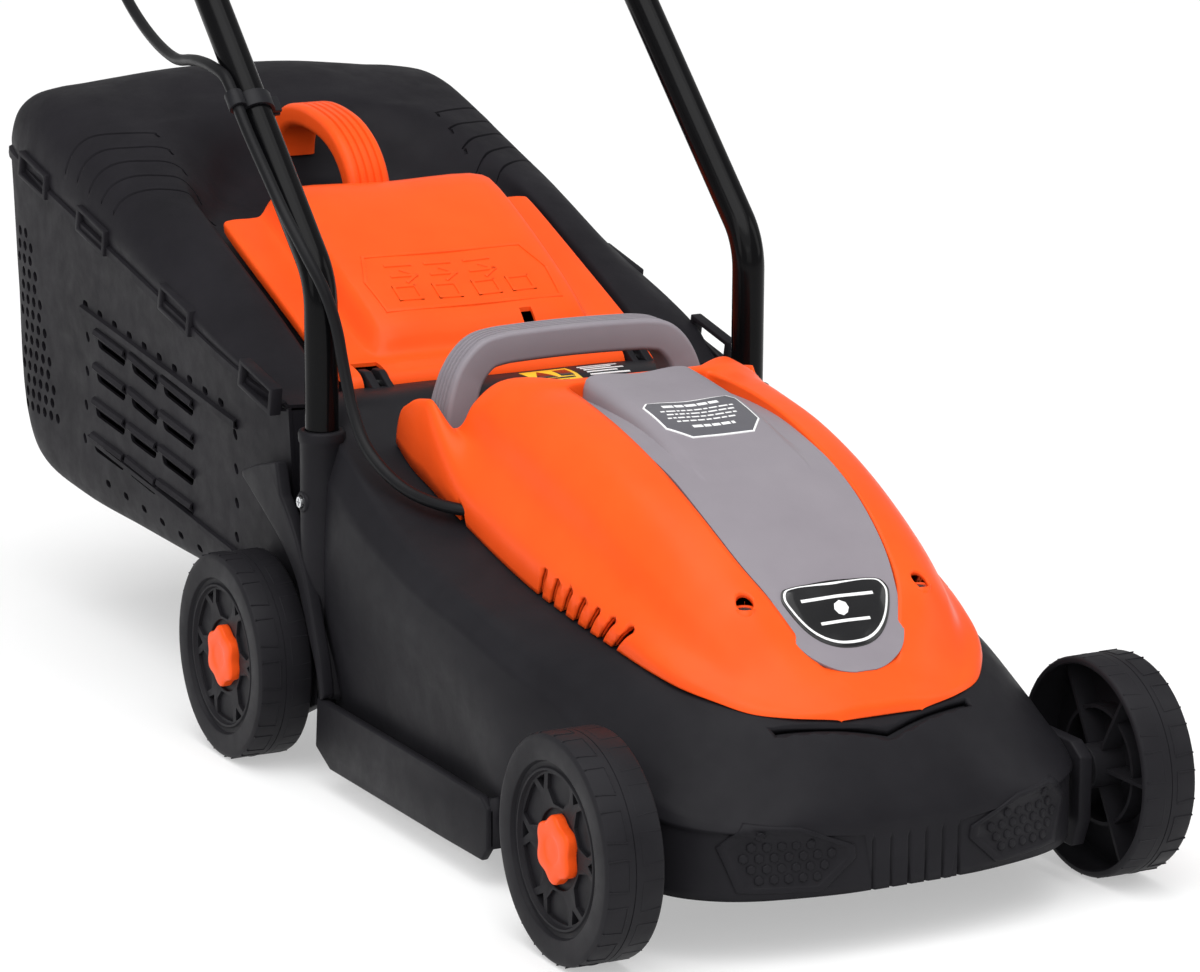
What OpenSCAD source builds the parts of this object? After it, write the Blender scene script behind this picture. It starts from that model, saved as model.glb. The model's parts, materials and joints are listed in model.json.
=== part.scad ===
// Push lawn mower with electric motor, rear collector and folding handle.
// Millimetres. +Z up, the front of the machine faces -Y, ground at Z = 0.

/* [Wheels] */
// Diameter of every wheel
wheel_d = 140; // [130:1:150]
// Width of a wheel over the tread
wheel_w = 38; // [34:1:42]
// Distance from the centre of the machine to a wheel's outer face
wheel_face_x = 203.4; // [200:0.1:208]
// Distance between the front and rear axles
wheelbase = 478; // [470:1:486]
// Diameter of the axle rods
axle_d = 12; // [10:1:13]

/* [Cutting unit] */
// Length of the cutting blade from tip to tip
blade_l = 320; // [300:1:324]
// Height of the blade's cutting edge above the ground, lowest setting
blade_z = 45; // [44:1:50]
// Travel of each axle between the lowest and highest setting
height_travel = 30; // [20:1:30]

/* [Handle] */
// Diameter of the handle tubes
tube_d = 22; // [20:1:22]
// Distance of each lower tube from the centre of the machine
tube_x = 159.5; // [159:0.5:160]
// Distance of each upper handle leg from the centre of the machine
leg_x = 136; // [135:0.5:136]
// Slope of the handle above the horizontal, in degrees
handle_slope = 43.7; // [40:0.1:46]
// Length of the upper handle above its fold bolts
upper_l = 580; // [560:5:600]

/* [Shells] */
// Wall thickness of the deck
deck_t = 3.4; // [3:0.1:4]
// Wall thickness of the motor cover
cover_t = 2.6; // [2.4:0.1:3]
// Wall thickness of the collector
bag_t = 2.5; // [2.2:0.1:3]

/* [Hidden] */
$fn = 48;

wr = wheel_d / 2;
ax_y = wheelbase / 2;
ar = axle_d / 2;
tr = tube_d / 2;
bend_z = 333;
tube_y = 167;
bend_r = 45;
bend_a = 90 - handle_slope;
fold_l = 310;
fold_y = tube_y + fold_l * cos(handle_slope);
fold_z = bend_z + fold_l * sin(handle_slope);
grip_r = 15;
motor_y = -50;
y_shift = -((fold_y + upper_l * cos(handle_slope) + grip_r) + (-ax_y - wr)) / 2;
hinge_y = 221;
hinge_z = 249.5;

charcoal = [0.16, 0.15, 0.17];
orange = [0.95, 0.36, 0.10];
grey = [0.56, 0.55, 0.59];
black = [0.05, 0.05, 0.055];
steel = [0.70, 0.71, 0.73];

// ---------- helpers ----------
module place() { translate([0, y_shift, 0]) children(); }
module both() { children(); mirror([1, 0, 0]) children(); }
module up_handle() { translate([0, fold_y, fold_z]) rotate([-bend_a, 0, 0]) children(); }
module xcyl(r, x0, x1, y, z) { translate([x0, y, z]) rotate([0, 90, 0]) cylinder(r = r, h = x1 - x0); }
module slab(x0, x1) { translate([x0, 0, 0]) rotate([90, 0, 90]) linear_extrude(x1 - x0) children(); }
module wall(y0, y1) { translate([0, y1, 0]) rotate([90, 0, 0]) linear_extrude(y1 - y0) children(); }

// thick sheet between two grids of points, rows run from the rear to the front
function flat_pts(g) = [for (r = g) for (p = r) p];
function quad(a, b, c, d, f) = f ? [[c, b, a], [d, c, a]] : [[a, b, c], [a, c, d]];
module sheet(o, i, flip = false) {
    n = len(o);
    m = len(o[0]);
    k = n * m;
    qs = concat(
        [for (u = [0:n - 2]) for (v = [0:m - 2]) v < (m - 1) / 2 ? quad(u * m + v, u * m + v + 1, (u + 1) * m + v + 1, (u + 1) * m + v, flip)
            : quad(u * m + v + 1, (u + 1) * m + v + 1, (u + 1) * m + v, u * m + v, flip)],
        [for (u = [0:n - 2]) for (v = [0:m - 2]) v < (m - 1) / 2 ? quad(k + u * m + v, k + (u + 1) * m + v, k + (u + 1) * m + v + 1, k + u * m + v + 1, flip)
            : quad(k + u * m + v + 1, k + u * m + v, k + (u + 1) * m + v, k + (u + 1) * m + v + 1, flip)],
        [for (v = [0:m - 2]) quad(v + 1, v, k + v, k + v + 1, flip)],
        [for (v = [0:m - 2]) quad((n - 1) * m + v, (n - 1) * m + v + 1, k + (n - 1) * m + v + 1, k + (n - 1) * m + v, flip)],
        [for (u = [0:n - 2]) quad(u * m, (u + 1) * m, k + (u + 1) * m, k + u * m, flip)],
        [for (u = [0:n - 2]) quad((u + 1) * m + m - 1, u * m + m - 1, k + u * m + m - 1, k + (u + 1) * m + m - 1, flip)]);
    polyhedron(points = concat(flat_pts(o), flat_pts(i)), faces = [for (q = qs) for (t = q) t], convexity = 10);
}
// a row is [y, inner y step, height step on or off, half section from the edge to the centre line]
function o_row(r) = let (h = r[3], n = len(h)) concat(
    [for (k = [0:n - 1]) [-h[k][0], r[0] + (len(h[k]) > 2 ? h[k][2] : 0), h[k][1]]],
    [for (k = [n - 2:-1:0]) [h[k][0], r[0] + (len(h[k]) > 2 ? h[k][2] : 0), h[k][1]]]);
function i_row(r, t, tx, tz) = let (h = r[3], n = len(h), sx = len(r) > 4 ? r[4] : tx, sz = len(r) > 4 ? r[5] : tz) concat(
    [for (k = [0:n - 1]) [-(h[k][0] - t * sx[k]), r[0] + r[1] + (len(h[k]) > 2 ? h[k][2] : 0), h[k][1] - t * sz[k] * r[2]]],
    [for (k = [n - 2:-1:0]) [h[k][0] - t * sx[k], r[0] + r[1] + (len(h[k]) > 2 ? h[k][2] : 0), h[k][1] - t * sz[k] * r[2]]]);
module shell(rows, t, tx, tz, flip = false) {
    sheet([for (r = rows) o_row(r)], [for (r = rows) i_row(r, t, tx, tz)], flip);
}

// round cable swept along a smooth route
function cr(p, i, u) = let (a = p[max(i - 1, 0)], b = p[i], c = p[i + 1], d = p[min(i + 2, len(p) - 1)])
    0.5 * (2 * b + (c - a) * u + (2 * a - 5 * b + 4 * c - d) * u * u + (3 * b - 3 * c + d - a) * u * u * u);
function route(p, s) = concat([for (i = [0:len(p) - 2]) for (k = [0:s - 1]) cr(p, i, k / s)], [p[len(p) - 1]]);
function unit(v) = v / norm(v);
module cable(p, r, s = 5, sides = 10) {
    q = route(p, s);
    n = len(q);
    tg = [for (i = [0:n - 1]) unit(q[min(i + 1, n - 1)] - q[max(i - 1, 0)])];
    ref = [0.9, -0.1, 0.35];
    pts = [for (i = [0:n - 1]) let (a = unit(cross(tg[i], ref)), b = cross(tg[i], a))
        for (k = [0:sides - 1]) q[i] + r * (cos(360 * k / sides) * a + sin(360 * k / sides) * b)];
    fs = concat([[for (k = [0:sides - 1]) k]],
        [for (i = [0:n - 2]) for (k = [0:sides - 1]) let (a = i * sides + k, b = i * sides + (k + 1) % sides) each [[a, a + sides, b], [b, a + sides, b + sides]]],
        [[for (k = [sides - 1:-1:0]) (n - 1) * sides + k]]);
    polyhedron(points = pts, faces = fs, convexity = 8);
}

// ---------- deck ----------
deck_tx = [1, 1, 1, 1, 0.7, 0, 0, 0];
deck_tz = [0, 0, 0, 0.4, 0.9, 1, 1, 1];
deck_rows = [
    [208, 0, 1, [[150, 60], [152, 100], [153, 150], [153, 215], [147, 238], [135, 247], [90, 250], [0, 250]]],
    [175, 0, 1, [[158, 40], [160, 90], [161, 150], [159, 208], [151, 233], [135, 244], [90, 249], [0, 250]]],
    [145, 0, 1, [[164, 40], [166, 90], [166, 150], [163, 200], [154, 224], [125, 221], [80, 230], [0, 238]]],
    [100, 0, 1, [[167, 40], [169, 90], [169, 145], [166, 186], [156, 202], [118, 207], [80, 214], [0, 218]]],
    [45, 0, 1, [[168, 40], [170, 90], [170, 140], [167, 170], [157, 183], [120, 192], [80, 198], [0, 202]]],
    [0, 0, 1, [[168, 40], [170, 90], [170, 135], [167, 160], [157, 171], [120, 183], [80, 188], [0, 192]]],
    [-50, 0, 1, [[167, 40], [169, 88], [169, 128], [166, 153], [156, 164], [120, 173], [80, 179], [0, 183]]],
    [-100, 0, 1, [[164, 40], [165, 84], [164, 118], [161, 139], [151, 151], [118, 166], [80, 172], [0, 175]]],
    [-140, 0, 1, [[158, 40], [158, 80], [157, 108], [153, 128], [144, 142], [119, 160.4], [75, 166], [0, 169]]],
    [-170, 0, 1, [[153, 40], [153, 76], [152, 100], [149, 116], [140, 132], [116, 155.3], [70, 161], [0, 163]]],
    [-200, 0, 1, [[152, 40], [152, 74], [151, 95], [148, 107], [138, 122], [110.5, 149], [65, 154], [0, 157]]],
    [-230, 1, 1, [[151, 40], [151, 72], [150, 88], [146, 98], [135, 112], [99, 142.4], [60, 148], [0, 150]]],
    [-255, 2, 1, [[146, 40], [146, 71], [145, 84], [140, 93], [127, 105], [77, 136.6], [50, 140], [0, 141]]],
    [-273, 3, 1, [[137, 40], [137, 70], [136, 82], [130, 89], [114, 98], [70, 123], [38, 130], [0, 131]]],
    [-290, 3, 1, [[119, 40], [119, 70], [118, 81], [112, 86], [98, 92], [62, 106], [35, 111], [0, 112]]],
    [-301, 3.2, 1, [[95, 40], [95, 70], [94, 80], [90, 84], [79, 88], [58, 93], [33, 96], [0, 97]]],
    [-307, 3.4, 1, [[62, 40], [62, 69], [61, 77], [58, 79], [52, 82], [42, 84], [24, 86], [0, 86]]],
    [-309, 3.4, 1, [[34, 43], [34, 68], [33.5, 74], [32, 76], [29, 78], [22, 79], [12, 80], [0, 80]]],
    [-309, 3.4, 0, [[31, 40], [29, 40], [27, 40], [24, 40], [20, 40], [14, 40], [7, 40], [0, 40]]]];

ear_pts = [[143, 74], [156, 94], [165, 114], [174, 131], [195, 150], [222, 166], [262, 185], [262, 190], [241, 198], [204, 207],
    [190, 200], [176, 160], [160, 132], [150, 100], [138, 78]];

module deck_body() {
    difference() {
        union() {
            shell(deck_rows, deck_t, deck_tx, deck_tz);
            // rear wall with the discharge opening
            wall(203, 207) difference() {
                polygon([[-151, 62], [-152.5, 150], [-151, 214], [-145, 236], [-133, 244.5], [-88, 247.5], [88, 247.5], [133, 244.5],
                    [145, 236], [151, 214], [152.5, 150], [151, 62]]);
                polygon([[-112, 100], [-112, 215], [-100, 230], [100, 230], [112, 215], [112, 100]]);
            }
            // discharge chute
            difference() {
                translate([-114.5, 112, 97.5]) cube([229, 92, 136]);
                translate([-112, 111, 100]) cube([224, 94, 115]);
                slab(-90, 90) polygon([[111, 214], [205, 214], [205, 230], [111, 214.5]]);
                translate([-150, 111, 160]) rotate([27, 0, 0]) translate([0, -60, 38]) cube([300, 200, 120]);
            }
            // motor well
            translate([0, motor_y, 92]) difference() {
                cylinder(r = 66, h = 98);
                translate([0, 0, 5]) cylinder(r = 62, h = 98);
            }
            // side skirts
            both() difference() {
                slab(167.5, 174) polygon([[-98, 24], [-90, 17], [128, 17], [150, 27], [146, 62], [-88, 60], [-98, 52]]);
                slab(160, 170.5) polygon([[-94, 28], [-88, 20.5], [126, 20.5], [144, 30], [142, 56], [-94, 56]]);
            }
            // skirt returns that carry the front edge of each skirt
            both() translate([161, -98, 24]) cube([9, 3, 30]);
            both() translate([155, 146, 27]) cube([15, 3, 30]);
            // wheel arch flanges behind the handle sockets
            both() slab(165, 175) polygon(ear_pts);
            both() slab(150, 166) polygon([for (k = [0:4]) ear_pts[k], [198, 157], [198, 203], [190, 200], [176, 160], [160, 132], [150, 100], [138, 78]]);
            // handle sockets
            both() translate([tube_x, tube_y, 0]) {
                translate([0, 0, 150]) cylinder(r = 14.5, h = 85);
                translate([0, 0, 118]) cylinder(r1 = 6, r2 = 14.5, h = 32.01);
            }
            // axle brackets
            both() difference() {
                union() {
                    slab(151, 158) polygon([[-262, 44], [-255, 26], [-223, 26], [-200, 44], [-196, 92], [-250, 92], [-262, 84]]);
                    slab(148, 158) polygon([[180, 100], [184, 44], [222, 26], [256, 26], [264, 38], [264, 78], [256, 86], [206, 100]]);
                }
            }
            // flap hinge lugs
            both() difference() {
                slab(90, 106) polygon([[198, 238], [206, 243], [222, 243.2], [231, 246], [231, 254], [226, 259], [216, 259], [206, 252], [198, 249]]);
            }
            // carry handle pads
            both() translate([68, 107, 205]) cube([34, 36, 35]);
            // raised bars on the bumper
            for (x = [-35, -21, -7, 7, 21, 35]) translate([x - 1.5, -308.9, 44]) cube([3, 4, 30]);
        }
        // axle slots
        for (s = [-1, 1]) both() slab(144, 170) translate([s * ax_y, 0]) {
            translate([-ar - 0.3, wr - height_travel - ar - 1]) square([2 * ar + 0.6, height_travel + ar + 1]);
            translate([0, wr]) circle(r = ar + 0.3);
        }
        // handle socket bores and screw holes
        both() translate([tube_x, tube_y, 172]) cylinder(r = tr + 0.15, h = 90);
        both() xcyl(2.1, 165, 190, tube_y, 188);
        // motor opening and shaft hole
        translate([0, motor_y, 97]) cylinder(r = 62, h = 120);
        translate([0, motor_y, 80]) cylinder(r = 9, h = 30);
        for (a = [45:90:315]) translate([54 * cos(a), motor_y + 54 * sin(a), 85]) cylinder(r = 2.1, h = 20);
        // hinge rod bore
        xcyl(2.55, -110, 110, hinge_y, hinge_z);
        // cover screw bosses, cooling air outlets and front slot
        both() translate([61, -213, 120]) cylinder(r = 1.6, h = 60);
        for (a = [15:30:345]) translate([34 * cos(a), motor_y + 34 * sin(a), 85]) cylinder(r = 3.5, h = 20);
        // underside of the carry handle pads
        both() translate([72, 111, 190]) cube([26, 28, 30]);
    }
}
// the deck up to its rear wall, and the arms and hinge lugs behind the wall
module behind_wall() { translate([-220, 208.6, 0]) cube([440, 80, 320]); }
module deck_shell() { color(charcoal) difference() { deck_body(); behind_wall(); } }
module rear_axle_arms() { color(charcoal) intersection() { deck_body(); behind_wall(); } }

// ---------- motor cover ----------
cov_tx = [1, 1, 0.9, 0.8, 0.3, 0.2, 0.1, 0];
cov_tz = [0, 0.3, 0.6, 0.7, 1, 1, 1, 1];
// the narrow ridge of the rear wings is solid near its top
wing_tx = [1, 1, 0.25, 0.85, 0.5, 0.2, 0.1, 0];
wing_tz = [0, 3.6, 2.3, 0.9, 1, 1, 1, 1];
cover_rows = [
    [0, -3, 1, [[116, 226, 147], [118, 255, 126], [107, 243, 96], [97, 211, 82], [80, 208.5, 72], [48, 204.5, 54], [30, 205.5, 52], [0, 206, 51]], wing_tx, wing_tz],
    [0, -2.6, 1, [[118, 209, 100], [119, 266, 90], [107, 247, 75], [100, 266, 66], [84, 280, 60], [50, 282, 38], [30, 282, 37], [0, 282, 37]], wing_tx, wing_tz],
    [0, 0, 1, [[118, 198, 60], [119, 232, 58], [106, 243, 55], [99, 267, 48], [82, 279, 44], [50, 281, 32], [30, 282, 31], [0, 282, 31]], wing_tx, wing_tz],
    [29, 0, 1, [[118, 190], [119, 211], [106, 237], [98, 262], [80, 276], [51, 279], [49, 268], [0, 268]]],
    [0, 0, 1, [[119.5, 184.3], [119, 206], [106, 230], [98, 257], [80, 272], [54.5, 276.5], [53.2, 266], [0, 266]]],
    [-50, 0, 1, [[120, 174.3], [119.5, 196], [106, 218], [98, 245], [81, 263], [56.8, 268.5], [55.6, 261.5], [0, 262]]],
    [-100, 0, 1, [[119.5, 167.2], [119, 186], [105, 206], [97, 230], [80, 248], [56.8, 254.5], [55.6, 250.5], [0, 251]]],
    [-150, 0, 1, [[117.5, 160.8], [116.5, 175], [102, 191], [93, 211], [76, 228], [55.8, 234.5], [54.6, 230.5], [0, 231]]],
    [-190, 1, 1, [[112, 153.6], [110.5, 163], [96, 176], [87, 193], [71, 207.5], [50.8, 211.5], [49.6, 207], [0, 208]]],
    [-215, 2, 1, [[105, 148.6], [103, 155], [90, 164], [80, 179], [64, 193.5], [43.8, 194.5], [42.6, 188.8], [0, 190]]],
    [-235, 2.4, 1, [[93, 144], [90, 148], [79, 153], [67, 161], [52, 169.5], [32.8, 171], [31.6, 165.5], [0, 166.5]]],
    [-252, 2.6, 1, [[78, 139], [75, 142], [65, 145], [54, 149], [41, 153], [25, 155], [20, 155.2], [0, 155.5]]],
    [-264, 2.6, 1, [[56, 136.5], [53, 138.5], [46, 140.5], [38, 142.5], [29, 144.5], [18, 145.8], [12, 146], [0, 146]]],
    [-271, 2.6, 1, [[31, 134], [29, 136], [25, 137.5], [20, 138.5], [15, 139], [9, 139.5], [5, 139.5], [0, 139.5]]],
    [-272, 2.6, 0, [[28, 133.5], [26, 133.5], [22, 133.5], [18, 133.5], [14, 133.5], [9, 133.5], [5, 133.5], [0, 133.5]]]];

module motor_cover() {
    color(orange) difference() {
        union() {
            shell(cover_rows, cover_t, cov_tx, cov_tz);
            both() translate([61, -213, 178]) cylinder(r = 6.2, h = 14);
        }
        // recessed screw holes
        both() translate([61, -213, 188.5]) cylinder(r = 4.6, h = 30);
        both() translate([61, -213, 170]) cylinder(r = 2.2, h = 30);
        // cooling slots in both sides
        both() for (k = [0:6]) translate([110, -66 - 15.7 * k - 1.8, 150]) cube([14, 3.6, 38.5 - 2.45 * k]);
        // cable entry
        translate([-119, 45, 203]) rotate([0, 0, 126]) rotate([0, 90, 0]) translate([0, 0, -14]) cylinder(r = 4.9, h = 28);
        translate([-125, 38.6, 180]) cube([14, 12.8, 23]);
    }
}

pan_tx = [0.2, 0.6, 0.6, 0];
pan_tz = [1, 1, 1, 1];
panel_rows = [
    [27, 0, 1, [[48, 271], [40, 271.5], [37, 281], [0, 281.5]]],
    [0, 0, 1, [[52.5, 269], [41, 269.5], [38, 277.5], [0, 278.3]]],
    [-50, 0, 1, [[55, 264.5], [41, 265.5], [38.5, 270], [0, 271]]],
    [-100, 0, 1, [[55, 253.5], [41, 254.5], [38, 255.5], [0, 256.5]]],
    [-150, 0, 1, [[54, 233.7], [40, 234.6], [30, 235], [0, 236]]],
    [-190, 0, 1, [[49, 210.7], [38, 211.6], [28, 212], [0, 213]]],
    [-215, 0, 1, [[42, 192.2], [31, 193], [22, 193.3], [0, 194]]],
    [-235, 0, 1, [[31, 170], [23, 171], [14, 171.3], [0, 171.6]]],
    [-244, 0, 1, [[24, 163.4], [17, 163.9], [9, 164.2], [0, 164.3]]],
    [-247, 0, 1, [[14, 161], [10, 161.2], [5, 161.4], [0, 161.5]]]];
module cover_panel() { color(grey) shell(panel_rows, 2, pan_tx, pan_tz); }

function pz(y) = lookup(y, [[-244, 164.3], [-235, 171.6], [-215, 194], [-190, 213], [-150, 236], [-100, 256.5], [-50, 271], [0, 278.3]]);
module badge_plate() {
    color(black) shell([for (q = [[-208.8, 26], [-211, 33.5], [-215.5, 36.5], [-221, 34.5], [-229, 28.5], [-235.5, 19.5], [-240, 9.5]])
        [q[0], 0, 1, [[q[1], pz(q[0]) + 0.6 - 0.026 * q[1]], [q[1] / 2, pz(q[0]) + 1.25 - 0.013 * q[1]], [0, pz(q[0]) + 1.5]]]],
        1.0, [0, 0, 0], [-0.01, 1, 1]);
}
module rating_label() {
    color([0.30, 0.29, 0.32]) shell([for (q = [[-30, 30], [-34, 33], [-50, 33.5], [-72, 33], [-84, 18]])
        [q[0], 0, 1, [[q[1], pz(q[0]) + 0.9 - 0.02 * q[1]], [0, pz(q[0]) + 0.9]]]], 0.6, [0, 0], [1, 1]);
}
module warning_label() {
    color([0.95, 0.80, 0.10]) translate([-15, 177, 250.05]) cube([50, 24, 0.5]);
}
module cover_screws() {
    color(steel) both() translate([61, -213, 0]) {
        difference() {
            translate([0, 0, 188.5]) cylinder(r = 4.1, h = 3);
            for (a = [0, 90]) rotate(a) translate([-2.6, -0.5, 190]) cube([5.2, 1, 3]);
        }
        translate([0, 0, 140]) cylinder(r = 1.6, h = 48.51);
    }
}
module carry_handle() {
    color(grey) difference() {
        wall(112, 138) difference() {
            polygon([[-99, 240], [-97, 256], [-92, 274], [-84, 289], [-72, 296.5], [-45, 299], [0, 300], [45, 299], [72, 296.5],
                [84, 289], [92, 274], [97, 256], [99, 240]]);
            polygon([[-72, 239], [-71, 258], [-66, 270], [-56, 276.5], [-30, 278], [30, 278], [56, 276.5], [66, 270], [71, 258], [72, 239]]);
        }
        // grooves round the outer band
        for (y = [118.2, 124.4, 130.6]) wall(y, y + 1.2) difference() {
            polygon([[-110, 235], [-110, 310], [110, 310], [110, 235]]);
            polygon([[-97.5, 234], [-95.5, 256], [-90.5, 273.5], [-83, 288], [-71.5, 295], [-45, 297.5], [0, 298.5], [45, 297.5], [71.5, 295],
                [83, 288], [90.5, 273.5], [95.5, 256], [97.5, 234]]);
        }
    }
}

// ---------- flap hinge ----------
module flap_hinge_rod() { color(steel) { xcyl(2.5, -107.5, 107.5, hinge_y, hinge_z); } }
module flap_spring() {
    color(steel) cable(concat([[12, hinge_y - 4.7, hinge_z + 1.6]], [for (k = [0:56]) [14 + 18 * k / 56, hinge_y - 4.2 * cos(k * 45), hinge_z + 4.2 * sin(k * 45)]],
        [[34, hinge_y - 4.7, hinge_z + 1.6]]), 0.6, 1, 6);
}

// ---------- lower handle ----------
module lower_tube(hole) {
    difference() {
        union() {
            translate([tube_x, tube_y, 172.5]) cylinder(r = tr, h = bend_z - bend_r * tan(bend_a / 2) - 172.5);
            translate([tube_x, tube_y + bend_r, bend_z - bend_r * tan(bend_a / 2)]) rotate([90, 0, -90]) rotate_extrude(angle = bend_a) translate([bend_r, 0]) circle(r = tr);
            translate([tube_x, tube_y, bend_z]) rotate([-bend_a, 0, 0]) translate([0, 0, bend_r * tan(bend_a / 2)]) cylinder(r = tr, h = fold_l + 22 - bend_r * tan(bend_a / 2));
        }
        union() {
            translate([tube_x, tube_y, 170]) cylinder(r = tr - 1.4, h = bend_z - bend_r * tan(bend_a / 2) - 170);
            translate([tube_x, tube_y + bend_r, bend_z - bend_r * tan(bend_a / 2)]) rotate([90, 0, -90]) rotate_extrude(angle = bend_a) translate([bend_r, 0]) circle(r = tr - 1.4);
            translate([tube_x, tube_y, bend_z]) rotate([-bend_a, 0, 0]) translate([0, 0, bend_r * tan(bend_a / 2)]) cylinder(r = tr - 1.4, h = fold_l + 25 - bend_r * tan(bend_a / 2));
        }
        xcyl(2.1, 165, 190, tube_y, 188);
        xcyl(3.05, 140, 190, fold_y, fold_z);
    }
}
module lower_tube_left() { color(black) lower_tube(); }
module lower_tube_right() { color(black) mirror([1, 0, 0]) lower_tube(); }
module socket_screws() {
    color(steel) both() {
        xcyl(2.0, 166, 174.5, tube_y, 188);
        difference() {
            xcyl(3.6, 174.4, 176.6, tube_y, 188);
            for (a = [0, 90]) translate([175.6, tube_y, 188]) rotate([a, 0, 0]) translate([0, -2.4, -0.45]) cube([3, 4.8, 0.9]);
        }
    }
}
module fold_bolts() {
    color(steel) both() {
        xcyl(3, 123.9, 182, fold_y, fold_z);
        xcyl(7, 121.4, 124.4, fold_y, fold_z);
        difference() { xcyl(8, 147.35, 148.25, fold_y, fold_z); xcyl(2.9, 147, 149, fold_y, fold_z); }
    }
}
clip_l = 143;
module cable_clip() {
    color(black) translate([-tube_x, tube_y, bend_z]) rotate([-bend_a, 0, 0]) translate([0, 0, clip_l - 6]) difference() {
        union() {
            cylinder(r = 13.4, h = 12);
            translate([-15.3, -8.5, 0]) cylinder(r = 6.2, h = 12);
            translate([13, -3, 0]) cube([5, 6, 12]);
        }
        translate([0, 0, -1]) cylinder(r = tr + 0.05, h = 14);
        translate([-15.3, -8.5, -1]) cylinder(r = 3.9, h = 14);
        translate([10, -0.6, -1]) cube([12, 1.2, 14]);
    }
}
// route points from the motor cover, past the tube, to the clip
cable_low = [[-110, 36, 203], [-119, 45, 203], [-129, 62, 204.5], [-138, 84, 209], [-145, 105, 219], [-150, 122, 233], [-152, 135, 252], [-154, 145, 280],
    [-157, 149, 305], [-163, 153, 328], [-170, 168, 352], [-174, 190, 374], [-175, 218, 398], [-174.8, 248, 422.1], [-174.8, 258.8, 432.4], [-174.8, 264.6, 438], [-174.8, 271.4, 444.5]];
cable_up = [[-174.8, 271.8, 444.9], [-175, 281, 451.8], [-175.5, 300, 456], [-174, 325, 456.5], [-170, 350, 454], [-165, 386, 450], [-159, 440, 457],
    [-153, 500, 477], [-146, 560, 510], [-136, 605, 560], [-126, 632, 620], [-118, 642, 680], [-113, 640, 740], [-110.5, 648, 785], [-110, 661, 805.5],
    [-110, 672, 815.9], [-110, 679.5, 823]];
module cable_lower() { color(black) cable(cable_low, 3.8, 4, 10); }
module cable_upper() { color(black) cable(cable_up, 3.8, 4, 10); }

// ---------- motor ----------
module at_motor() { translate([0, motor_y, 0]) children(); }
module stator_core() {
    color([0.45, 0.46, 0.48]) at_motor() difference() {
        translate([0, 0, 130]) cylinder(r = 45, h = 60);
        translate([0, 0, 129]) cylinder(r = 26.5, h = 62);
        for (s = [-1, 1]) translate([0, 0, 129]) linear_extrude(62) difference() {
            translate([-20, s > 0 ? 24 : -39]) square([40, 15]);
            circle(r = 29);
        }
        for (a = [45:90:315]) rotate(a) translate([40, 0, 129]) cylinder(r = 2.2, h = 62);
    }
}
module stator_windings() {
    color([0.72, 0.36, 0.14]) at_motor() for (s = [0, 180]) rotate(s) {
        translate([-19, 29.5, 122]) cube([38, 8.5, 67.8]);
        translate([-14, 29.5, 189]) cube([28, 6.5, 9]);
    }
}
module bearing_seat(z, r) { translate([0, 0, z]) cylinder(r = r, h = 12); }
module motor_lower_bracket() {
    color([0.62, 0.63, 0.65]) at_motor() difference() {
        union() {
            translate([0, 0, 97]) cylinder(r = 60, h = 5);
            translate([0, 0, 97]) cylinder(r = 22, h = 18);
            difference() {
                translate([0, 0, 102]) cylinder(r = 50, h = 28);
                translate([0, 0, 101]) cylinder(r = 46.2, h = 30);
                for (a = [22.5:45:360]) rotate(a) translate([40, -9, 104]) cube([20, 18, 18]);
            }
        }
        translate([0, 0, 96]) cylinder(r = 9, h = 30);
        translate([0, 0, 105]) cylinder(r = 16, h = 20);
        for (a = [45:90:315]) rotate(a) translate([54, 0, 96]) cylinder(r = 2.1, h = 10);
        for (a = [45:90:315]) rotate(a) translate([40, 0, 96]) cylinder(r = 2.1, h = 10);
        for (a = [15:30:345]) rotate(a) translate([34, 0, 96]) cylinder(r = 3.5, h = 10);
    }
}
module motor_upper_bracket() {
    color([0.62, 0.63, 0.65]) at_motor() difference() {
        union() {
            translate([0, 0, 190]) difference() {
                cylinder(r = 47, h = 8);
                translate([0, 0, -1]) cylinder(r = 39.5, h = 10);
            }
            for (a = [0, 90]) rotate(a + 45) difference() {
                translate([-46, -8, 196]) cube([92, 16, 42]);
                translate([-40, -9, 195]) cube([80, 18, 37]);
            }
            translate([0, 0, 220]) cylinder(r = 17, h = 18);
        }
        translate([0, 0, 219]) cylinder(r = 13, h = 15);
        translate([0, 0, 219]) cylinder(r = 7, h = 25);
        for (a = [45:90:315]) rotate(a) translate([40, 0, 189]) cylinder(r = 2.1, h = 50);
    }
}
module motor_bearings() {
    color(steel) at_motor() {
        translate([0, 0, 105]) difference() { cylinder(r = 16, h = 10); translate([0, 0, -1]) cylinder(r = 6.03, h = 12); }
        translate([0, 0, 224]) difference() { cylinder(r = 13, h = 8); translate([0, 0, -1]) cylinder(r = 5.03, h = 10); }
    }
}
module brush_holders() {
    color([0.75, 0.60, 0.25]) at_motor() for (s = [0, 180]) rotate(s) {
        translate([15, -5, 203]) cube([19, 10, 12]);
        translate([34, -7, 198]) cube([3, 14, 20]);
        translate([36, -7, 198]) cube([8, 14, 2.5]);
    }
}
module suppression_capacitor() { color([0.85, 0.85, 0.82]) at_motor() translate([-11, 39.6, 198.05]) cube([22, 7, 15]); }
module motor_screws() {
    color(steel) at_motor() {
        for (a = [45:90:315]) rotate(a) translate([54, 0, 92.2]) { cylinder(r = 2, h = 10); translate([0, 0, 9.8]) cylinder(r = 4, h = 3); }
        for (a = [45:90:315]) rotate(a) translate([40, 0, 102.2]) { cylinder(r = 2, h = 95.8 - 0.0); }
    }
}

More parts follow.
